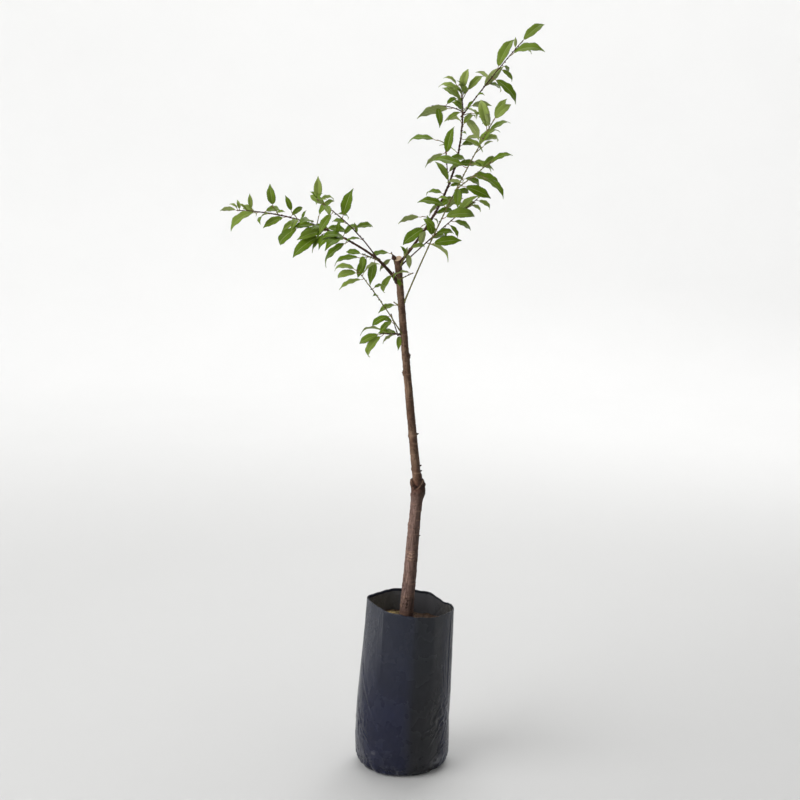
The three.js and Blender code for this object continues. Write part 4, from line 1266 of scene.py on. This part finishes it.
def trunk_relief(place, height, angle, settings):
    """How far the bark stands out, in millimetres, how dark it is, partly worn and partly painted
    shade in its hollows, folds and grooves, and how pale it is scarred."""
    relief = settings.relief / MM
    stock = 1 - smooth_step(height, KNOB_Z, KNOB_Z + 20)
    drawn = place * np.array((1, 1, 0.16))
    coarse = noise(drawn, 3.2, 31)
    out = relief * (0.6 + 0.6 * stock) * (coarse + 0.5 * noise(drawn, 1.6, 32))
    out = out + relief * 0.8 * noise(place * np.array((1, 1, 1.6)), 5.5, 33)
    # Painted shade: the hollows of the coarse relief are darkened.
    wear = 0.25 * np.clip(-coarse, 0, 1)
    # The graft's callus is lumpy, with deep folds between the lumps, darkened as painted shade.
    callus = bell(height - KNOB_Z + 6, 17)
    lumps = noise(place * np.array((1, 1, 0.9)), 6.5, 35)
    folds = np.clip(1 - np.abs(noise(place, 5.0, 36)) * 3, 0, 1)
    out = out + callus * (1.9 * lumps + 1.1 * noise(place, 3.4, 38) - 1.3 * folds)
    out = out + 2.2 * bell(height - KNOB_Z + 20, 13) * np.clip(np.cos(angle), 0, 1) ** 2
    wear = wear + 0.8 * callus * folds + 0.25 * callus
    # The scion stands in the stock's cup: above the cup's lip only the scion is left.
    lip = (KNOB_Z + 11 - 15 * bell(wrapped(angle - GRAFT_FRONT, TURN), 0.75)
           - 7 * bell(wrapped(angle + GRAFT_FRONT, TURN), 0.6) + 1.2 * lumps)
    above = height - lip
    near_lip = (height < KNOB_Z + 40) & (height > lip - 1)
    excess = np.maximum(trunk_radius(height, angle) + out - scion_radius(height), 0)
    out = out - np.where(near_lip, excess * smooth_step(above, -0.4, 2.2), 0)
    out = out + 0.9 * bell(above + 1.6, 1.7)
    wear = np.clip(wear, 0, 1) * (1 - near_lip * smooth_step(above, 0.5, 3))
    # Painted shade: a dark line just above the lip, where the scion comes out of the cup.
    wear = wear + 0.9 * bell(above - 1.0, 1.3)
    scar = 0.85 * bell(above + 1.3, 1.0)
    for level in PALE_RINGS:
        side = bell(wrapped(angle - PALE_RINGS_SIDE, TURN), 0.5)
        ring = bell(height - level - 1.2 * np.sin(5 * angle), 0.95) * side
        out, scar = out + 0.5 * ring, scar + 0.95 * ring
    # Dark specks are gathered round the knot at the foot.
    specks = np.clip(1.6 * noise(place, 2.6, 37) - 0.35, 0, 1) * 1.3
    wear = wear + specks * bell(height - SPECKLED_KNOT_Z, 17) * smooth_step(-np.sin(angle), 0.1, 0.7)
    # Low ring scars, where buds of earlier years stood, are crowded on the stock.
    for ring in range(RING_SCARS):
        level = TRUNK_FOOT[1] + 12 + 730 * chance(41, ring) ** 1.6
        near = math.radians(360 * chance(42, ring))
        side = np.clip(np.cos(angle - near) * 2 - 0.6, 0, 1)
        band = bell(height - level, 0.9) * side
        out = out + 0.42 * band - 0.3 * bell(height - level - 2, 0.9) * side
        scar = scar + (0.16 + 0.22 * chance(43, ring)) * band
    for level, heading, size in TRUNK_KNOTS:
        away = wrapped(angle - math.radians(heading), TURN)
        gap = np.hypot(away * trunk_radius(level, 0), (height - level) * 0.8)
        ring_fold = bell(gap - size * 1.5, 0.8)
        out = out + size * 0.72 * bell(gap, size * 1.15) - size * 0.3 * bell(gap, size * 0.4)
        out = out - 0.35 * ring_fold
        # Knots are dark in the middle, and the groove round each is darkened as painted shade.
        wear = wear + 0.75 * bell(gap, size * 0.55) + 0.4 * ring_fold
    wear = np.clip(wear, 0, 1)
    return out, wear, np.clip(scar, 0, 1) * (1 - wear)


def build_trunk(settings, finish):
    """The trunk with its bark's relief, from the soil to the pruned head."""
    top = TRUNK_HEAD[1]
    heights = np.append(np.arange(TRUNK_FOOT[1] - 6, top - 2, 1.9), (top - 1.4, top - 0.5))
    height = np.repeat(heights, TRUNK_SIDES)
    angle = np.tile(circle(TRUNK_SIDES), len(heights))
    radius = trunk_radius(np.maximum(height, TRUNK_FOOT[1]), angle)
    place = polar(radius, angle, height)
    out, wear, scar = trunk_relief(place, height, angle, settings)
    radius = radius + out * smooth_step(top - height, 0.4, 3)
    radius = radius - 0.7 * (1 - smooth_step(top - height, 0, 2))
    flat = polar(radius, angle, 0)[:, :2]
    slope = smooth_step(height, top - 16, top - 2) * (flat @ HEAD_SLOPE)
    hubs = trunk_centre((heights[0], heights[-1]))
    points = np.vstack((trunk_centre(height) + np.column_stack((flat, slope)), hubs))
    piece = make_object("trunk_bark", points, closed_faces(len(heights), TRUNK_SIDES), finish)
    callus = bell(height - KNOB_Z + 4, 15)
    damp = 0.92 * (1 - smooth_step(height, TRUNK_FOOT[1] + 8, TRUNK_FOOT[1] + 44))
    head = 0.5 * smooth_step(height, top - 22, top - 4)
    # Painted shade: the trunk's right front is darkened as if turned from the light, more deeply on the
    # graft's knob. It goes into the stain's third part.
    away = (0.68 + 0.2 * callus) * smooth_step(np.cos(angle + 0.45), 0.1, 1.0)
    stain = np.column_stack((np.maximum(damp, head), 0.75 * callus, away))
    stock = 1 - smooth_step(height, KNOB_Z - 8, KNOB_Z + 8)
    store_values(piece, bark_place=np.vstack((place, hubs * np.array((0, 1, 1)))) * MM,
                 wear=np.append(wear, (0, 0)), scar=np.append(scar, (0, 0)),
                 stain=np.vstack((stain, np.zeros((2, 3)))), stock=np.append(stock, (1, 0)))
    finish_piece(piece, "bark", "trunk")


def limb_line(path):
    """A limb's smooth line with its thickness: swollen at the joints and where it starts."""
    limb = path["limb"]
    line, shares = smooth_path(path["points"])
    stations = np.interp(shares, np.arange(len(path["stations"])), path["stations"])
    swelling = np.where(shares >= path["first_joint"] - 0.5, 0.28, 0.1)
    radius = limb_radius(limb, stations) * (1 + swelling * bell(np.abs(shares - np.round(shares)), 0.2))
    rise, reach = (0.45, 4.0) if limb["on"] == "trunk" else (0.25, 3.0)
    radius = radius * (1 + rise * np.exp(-stations / reach))
    line = np.vstack((line[0] - unit(line[1] - line[0]) * 4.0, line,
                      line[-1] + unit(line[-1] - line[-2]) * 1.2))
    radius = np.concatenate(((radius[0],), radius, (radius[-1] * 0.45,)))
    return line, radius, np.concatenate(((-4.0,), stations, (stations[-1] + 1.2,)))


def sweep_lines(name, lines, sides, finish):
    """One piece from many lines of (points, radii, distances) in millimetres."""
    edges, start = [], 0
    for line, _, _ in lines:
        edges += [(start + k, start + k + 1) for k in range(len(line) - 1)]
        start += len(line)
    points, thick, _ = (np.concatenate(part) for part in zip(*lines))
    # Each line has its own stretch of the bark's pattern.
    along = np.concatenate([stations + 37.0 * count for count, (_, _, stations) in enumerate(lines)])
    source = make_object(name + "_lines", points, edges=edges)
    store_values(source, thick=thick * MM, along=along * MM)
    tree = bpy.data.node_groups.get("limb_sweep") or limb_tree()
    return run_tree(source, tree, name, Sides=sides, Material=finish)


def build_cuts(settings, grown):
    """The pruning cuts: the trunk's head and the end of the left bough."""
    before, end = grown["left"]["points"][-2:]
    way = unit(end - before)
    slope = unit(np.array((-HEAD_SLOPE[0], -HEAD_SLOPE[1], 1.0)))
    cuts = ((trunk_centre(TRUNK_HEAD[1] - 0.5)[0], slope, HEAD_RADIUS + 0.9),
            (end + way * 0.6, way, LIMBS["left"]["tip"] * 1.05))
    points, faces, places = [], [], []
    for centre, axis, radius in cuts:
        across = unit(square_to(np.array((1.0, 0.2, 0.1)), axis))
        third = np.cross(axis, across)
        faces += [[len(points) + corner for corner in face]
                  for face in closed_faces(len(CUT_PROFILE), CUT_SIDES)]
        for share, lift in CUT_PROFILE:
            for angle in circle(CUT_SIDES):
                wobble = 1 + 0.04 * math.sin(3 * angle + radius)
                flat = across * math.cos(angle) + third * math.sin(angle)
                points.append(centre + flat * radius * share * wobble + axis * lift)
                places.append(polar(radius * share, angle, 0))
        points += [centre - axis * 0.6, centre + axis * 0.45]
        places += [(0, 0, 0)] * 2
    piece = make_object("pruning_cuts", points, faces, cut_finish(settings))
    store_values(piece, ring_place=np.array(places) * MM)
    finish_piece(piece, "bark", "trunk", "left_bough")


def build_wood(settings):
    grown = grow_limbs()
    bark = bark_finish(settings, "trunk_bark", settings.bark, settings.bark_pale,
                       settings.bark_dark, 0.68)
    build_trunk(settings, bark)
    young = bark_finish(settings, "young_bark", settings.young, shade(settings.young, 2.2),
                        shade(settings.young, 0.45), 0.66)
    green = bark_finish(settings, "green_bark", settings.green, shade(settings.green, 1.5),
                        shade(settings.green, 0.55), 0.72)
    brown = [limb_line(path) for name, path in grown.items() if name not in GREEN_LIMBS]
    fresh = [limb_line(path) for name, path in grown.items() if name in GREEN_LIMBS]
    finish_piece(sweep_lines("boughs", brown, 14, young), "bark", *BROWN_NODES)
    finish_piece(sweep_lines("green_shoots", fresh, 10, green), "green_wood", *GREEN_NODES)
    build_cuts(settings, grown)


# Leaves

def unit_blade():
    """A flat blade with its two sides joined at the margin. Its points store their share of the
    length, their place across, the breadth there and the side."""
    shares = np.concatenate(((0.015,), np.linspace(0.05, 0.97, 20), (0.99,)))
    columns = np.array((-1, -0.78, -0.5, -0.2, 0, 0.2, 0.5, 0.78, 1.0))
    rows, last = len(shares), len(columns) - 1
    grid = [(share, place, float(abs(place) < 1)) for share in shares for place in columns]
    grid += [(share, place, -1.0) for share in shares for place in columns[1:-1]]
    foot, tip = len(grid), len(grid) + 1
    grid = np.array(grid + [(0.0, 0.0, 0.0), (1.0, 0.0, 0.0)])
    top = np.arange(rows * (last + 1)).reshape(rows, last + 1)
    under = top.copy()
    under[:, 1:-1] = np.arange(top.size, foot).reshape(rows, last - 1)
    faces = []
    for row in range(rows - 1):
        for column in range(last):
            for sheet in (top, under):
                a, b = sheet[row, column:column + 2]
                d, c = sheet[row + 1, column:column + 2]
                faces.append((a, b, c, d) if sheet is top else (a, d, c, b))
    for column in range(last):
        for hub, sheet, step in ((foot, top[0], -1), (foot, under[0], 1), (tip, top[-1], 1),
                                 (tip, under[-1], -1)):
            faces.append((hub, *sheet[column:column + 2][::step]))
    share, place, side = grid.T
    blade = make_object("unit_blade", grid * np.array((1, 1, 0)) / MM, faces)
    teeth = 1 + 0.022 * np.where(np.arange(len(share)) % 2, 1, -1) * (np.abs(place) == 1)
    rib = np.where(side < 0, 1.3 * bell(place, 0.12), 0)
    store_values(blade, u=share, v=place, side=side,
                 breadth=blade_breadth(share, FINISHED_BLADE) * teeth,
                 body=(0.25 + 0.25 * (1 - np.abs(place)) + rib) * np.abs(side))
    corners = np.zeros(len(blade.data.loops), np.int32)
    blade.data.loops.foreach_get("vertex_index", corners)
    store_values(blade, "CORNER", blade=grid[corners, :2])
    return blade


def leaf_top_finish(settings):
    """Upper sides: old to young green by leaf, paler rib and veins, and a soft gloss."""
    make = Finish("leaf_top", 0.42, 0.16)
    rib = make.group("veins", make.own("blade", "Vector"))
    veins = rib["Veins"]
    blotch = make.group("mottle", make.place(), Size=0.014, Softness=0.3)
    fresh = shade(settings.old, 2.4)
    base = make.layers(settings.old, (make.own("tone"), settings.young), (blotch * 0.3, fresh),
                       (veins * 0.26, fresh), (rib * 0.6, settings.under))
    return make.done(base, 1.0 - (rib + veins * 0.5), 0.0005, 0.8, make.ramp(blotch, 0.36, 0.52))


def leaf_under_finish(settings):
    """Undersides: paler and duller, with raised veins."""
    make = Finish("leaf_underside", 0.62, 0.18)
    rib = make.group("veins", make.own("blade", "Vector"), Width=0.2)
    raised = reckon("MAXIMUM", rib, rib["Veins"] * 0.5)
    base = make.layers(shade(settings.under, 0.8), (make.own("tone"), shade(settings.under, 1.2)),
                       (raised * 0.6, shade(settings.under, 1.6)))
    return make.done(base, raised, 0.0006, 0.8)


def stalk_finish(settings):
    make = Finish("leaf_stalk", 0.5, 0.4)
    place = make.own("bark_place", "Vector")
    flush = make.group("mottle", place, Size=0.01, Softness=0.2)
    return make.done(make.layers(settings.stalk, (flush, FLUSHED_STALK)),
                     make.group("grain", place, Across=0.0006, Stretch=8.0), 0.0002, 0.5)


def build_blades(settings, leaves):
    """All blades in one piece, from one point for each leaf."""
    def of_each(name):
        return np.array([leaf[name] for leaf in leaves])

    source = make_object("leaf_feet", of_each("foot"))
    luck = of_each("luck")
    tones = 0.75 * of_each("youth") ** 3 * (0.3 + 0.7 * luck) + 0.32 * luck ** 3
    store_values(source, foot=of_each("foot") * MM, length=of_each("length") * MM,
                 half_width=of_each("width") / 2 * MM, tone=np.clip(tones, 0, 1),
                 **{name: of_each(name) for name in ("chord", "face", "across", "arc", "fold",
                                                     "twist", "phase", "hook")})
    blade = unit_blade()
    piece = run_tree(source, blade_tree(), "leaf_blades", Blade=blade,
                     Thickness=settings.thickness, Waviness=settings.waviness,
                     Top=leaf_top_finish(settings), Underside=leaf_under_finish(settings))
    bpy.data.objects.remove(blade)
    finish_piece(piece, "foliage", *MASSES)


def build_stalks(settings, leaves):
    """Leaf stalks, which run on into the ribs."""
    lines = []
    for leaf in leaves:
        root, foot = leaf["root"], leaf["foot"]
        sag = np.array((0, 0, -0.1)) * np.linalg.norm(foot - root)
        inner = blade_points(leaf, (0.04, 0.1))[:, 1]
        line, _ = smooth_path((root, (root + foot) / 2 + sag, foot, inner[0], inner[1]))
        share = np.linspace(0, 1, len(line))
        radius = (0.85 - 0.45 * share) * (0.75 + leaf["length"] / 200)
        lines.append((line, radius * (1 + 0.5 * np.exp(-share * 12)), share * 12))
    piece = sweep_lines("leaf_stalks", lines, 7, stalk_finish(settings))
    finish_piece(piece, "foliage", *MASSES)


def build_spurs(leaves, finish):
    """The spurs that carry some of the leaves."""
    lines = []
    for leaf in leaves:
        if leaf["spurs"]:
            joint, root = leaf["joint"], leaf["root"]
            middle = (joint + root) / 2 + np.array((0.6, 0, 0.8)) * leaf["spurs"]
            line, _ = smooth_path((joint, middle, root))
            share = np.linspace(0, 1, len(line))
            rings = 1 + 0.2 * bell(share - 0.5, 0.05) + 0.3 * bell(share - 1, 0.06)
            lines.append((line, (0.95 - 0.2 * share) * rings, share * 18))
    finish_piece(sweep_lines("leaf_spurs", lines, 8, finish), "green_wood", *MASSES)


def bud_shape():
    """A pointed bud one unit long, standing on its foot."""
    rings = [polar(radius, circle(BUD_SIDES), height) for radius, height in BUD_PROFILE]
    points = np.concatenate(rings + [np.array(((0, 0, 0), (0, 0, 1)))])
    return make_object("unit_bud", points / MM, closed_faces(len(rings), BUD_SIDES))


def build_buds(grown, finish):
    """A bud at every joint, and at the tip of each shoot."""
    buds = []
    for number, path in enumerate(grown.values()):
        points = path["points"]
        for row in range(max(2, path["first_joint"]), len(points)):
            along = unit(points[row] - points[row - 1])
            out = unit(square_to(direction(360 * chance(61 + number, row), 10), along))
            radius = limb_radius(path["limb"], path["stations"][row])
            if row == len(points) - 1:
                buds.append((points[row] + along * 0.6, along, 3.4))
            else:
                buds.append((points[row] + out * radius * 0.75, unit(along * 0.8 + out),
                             2.0 + 1.2 * chance(62 + number, row)))
    for height, heading, rise, size in TRUNK_BUDS:
        reach = float(trunk_radius(height, math.radians(heading))) - 0.5
        buds.append((trunk_centre(height)[0] + direction(heading, 0) * reach,
                     direction(heading, rise), size))
    places, aims, sizes = (np.array(part) for part in zip(*buds))
    source = make_object("bud_places", places)
    store_values(source, aim=aims, size=sizes * MM, bark_place=places * MM)
    bud = bud_shape()
    piece = run_tree(source, bud_tree(), "buds", Bud=bud, Material=finish)
    bpy.data.objects.remove(bud)
    finish_piece(piece, "bark", *MASSES)


# Stage

def stage_finish(settings):
    """Paper that grows paler away from the plant, as painted light."""
    make = Finish("stage_paper", 0.85, 0.2)
    place = make.place()
    grain = make.group("mottle", place, Size=0.4, Softness=0.4)
    far = make.passage(make.add("ShaderNodeVectorMath", place, operation="LENGTH"), 1.4, 4.2)
    return make.done(make.layers(settings.floor, (far, settings.paper), (grain * 0.04, PAPER_GRAIN)))


def build_backdrop(settings):
    """A pale round floor that curves up into a wall on every side."""
    flat, bend, top, sides = 3.5, 1.8, 4.6, 96
    curve = [step / 12 * math.pi / 2 for step in range(1, 13)]
    line = [(0.6, 0.0), (flat, 0.0), *((flat + bend * math.sin(angle), bend - bend * math.cos(angle))
                                       for angle in curve), (flat + bend, top)]
    rings = [polar(radius, circle(sides), level) for radius, level in line]
    faces = [face[::-1] for face in ring_faces(len(line), sides)]
    faces += fan_faces(len(line) * sides, 0, sides)
    points = np.concatenate(rings + [np.zeros((1, 3))])
    make_object("backdrop", points / MM, faces, stage_finish(settings))


def add_light(name, place, target, size, power):
    lamp = bpy.data.lights.new(name, "AREA")
    lamp.shape, lamp.size, lamp.energy = "DISK", size, power
    holder = link_object(name, lamp)
    holder.location = place
    holder.visible_camera = False
    x, y, z = np.array(target) - np.array(place)
    holder.rotation_euler = (math.atan2(math.hypot(x, y), -z), 0, math.atan2(y, x) - math.pi / 2)


def build_stage(settings):
    scene = bpy.context.scene
    scene.view_settings.view_transform = "Standard"
    build_backdrop(settings)
    for name, (place, target, size) in LIGHTS.items():
        add_light(name + "_light", place, target, size, getattr(settings, name))
    scene.world = bpy.data.worlds.new("soft_sky")
    scene.world.use_nodes = True
    sky = scene.world.node_tree.nodes["Background"]
    sky.inputs["Color"].default_value = (1.0, 1.0, 1.0, 1.0)
    sky.inputs["Strength"].default_value = settings.sky
    camera = bpy.data.cameras.new("camera")
    camera.sensor_width, camera.lens = CAMERA_SENSOR, CAMERA_LENS
    scene.camera = link_object("camera", camera)
    scene.camera.location = CAMERA_PLACE
    scene.camera.rotation_euler = (math.radians(CAMERA_PITCH), 0, 0)


# Operators

class PLUM_OT_bag(Operator):
    """Make the film grow bag"""
    bl_idname = "plum.bag"
    bl_label = "Grow Bag"

    def execute(self, context):
        build_bag(context.scene.plum_tree.bag)
        return {"FINISHED"}


class PLUM_OT_soil(Operator):
    """Make the soil and its crumbs"""
    bl_idname = "plum.soil"
    bl_label = "Soil"

    def execute(self, context):
        build_soil(context.scene.plum_tree.soil, context.scene.plum_tree.bag)
        return {"FINISHED"}


class PLUM_OT_wood(Operator):
    """Make the trunk, boughs, shoots and pruning cuts"""
    bl_idname = "plum.wood"
    bl_label = "Trunk and Boughs"

    def execute(self, context):
        build_wood(context.scene.plum_tree.wood)
        return {"FINISHED"}


class PLUM_OT_leaves(Operator):
    """Make the leaves with their stalks, spurs and buds"""
    bl_idname = "plum.leaves"
    bl_label = "Leaves"

    def execute(self, context):
        settings = context.scene.plum_tree.leaf
        grown = grow_limbs()
        leaves = grow_leaves(grown)
        if not leaves:
            raise RuntimeError("no leaf found room to grow")
        build_blades(settings, leaves)
        build_stalks(settings, leaves)
        build_spurs(leaves, bpy.data.materials["green_bark"])
        build_buds(grown, bpy.data.materials["young_bark"])
        return {"FINISHED"}


class PLUM_OT_stage(Operator):
    """Make the backdrop, the lights and the camera"""
    bl_idname = "plum.stage"
    bl_label = "Stage"

    def execute(self, context):
        build_stage(context.scene.plum_tree.stage)
        return {"FINISHED"}


class PLUM_PT_panel(Panel):
    """Settings and steps of the potted plum tree"""
    bl_idname = "PLUM_PT_panel"
    bl_label = "Potted Plum Tree"
    bl_space_type = "VIEW_3D"
    bl_region_type = "UI"
    bl_category = "Plum Tree"

    def draw(self, context):
        settings = context.scene.plum_tree
        steps = ((settings.bag, "plum.bag"), (settings.soil, "plum.soil"),
                 (settings.wood, "plum.wood"), (settings.leaf, "plum.leaves"),
                 (settings.stage, "plum.stage"))
        for group, step in steps:
            box = self.layout.box()
            for name in group.bl_rna.properties.keys():
                if name not in ("rna_type", "name"):
                    box.prop(group, name)
            box.operator(step)


CLASSES = (BagSettings, SoilSettings, WoodSettings, LeafSettings, StageSettings,
           PlumTreeSettings, PLUM_OT_bag, PLUM_OT_soil, PLUM_OT_wood, PLUM_OT_leaves,
           PLUM_OT_stage, PLUM_PT_panel)


def register():
    for cls in CLASSES:
        bpy.utils.register_class(cls)
    bpy.types.Scene.plum_tree = PointerProperty(type=PlumTreeSettings)


def unregister():
    del bpy.types.Scene.plum_tree
    for cls in reversed(CLASSES):
        bpy.utils.unregister_class(cls)


def main():
    register()
    bpy.ops.plum.stage()
    bpy.ops.plum.bag()
    bpy.ops.plum.soil()
    bpy.ops.plum.wood()
    bpy.ops.plum.leaves()
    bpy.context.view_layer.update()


if __name__ == "__main__":
    main()
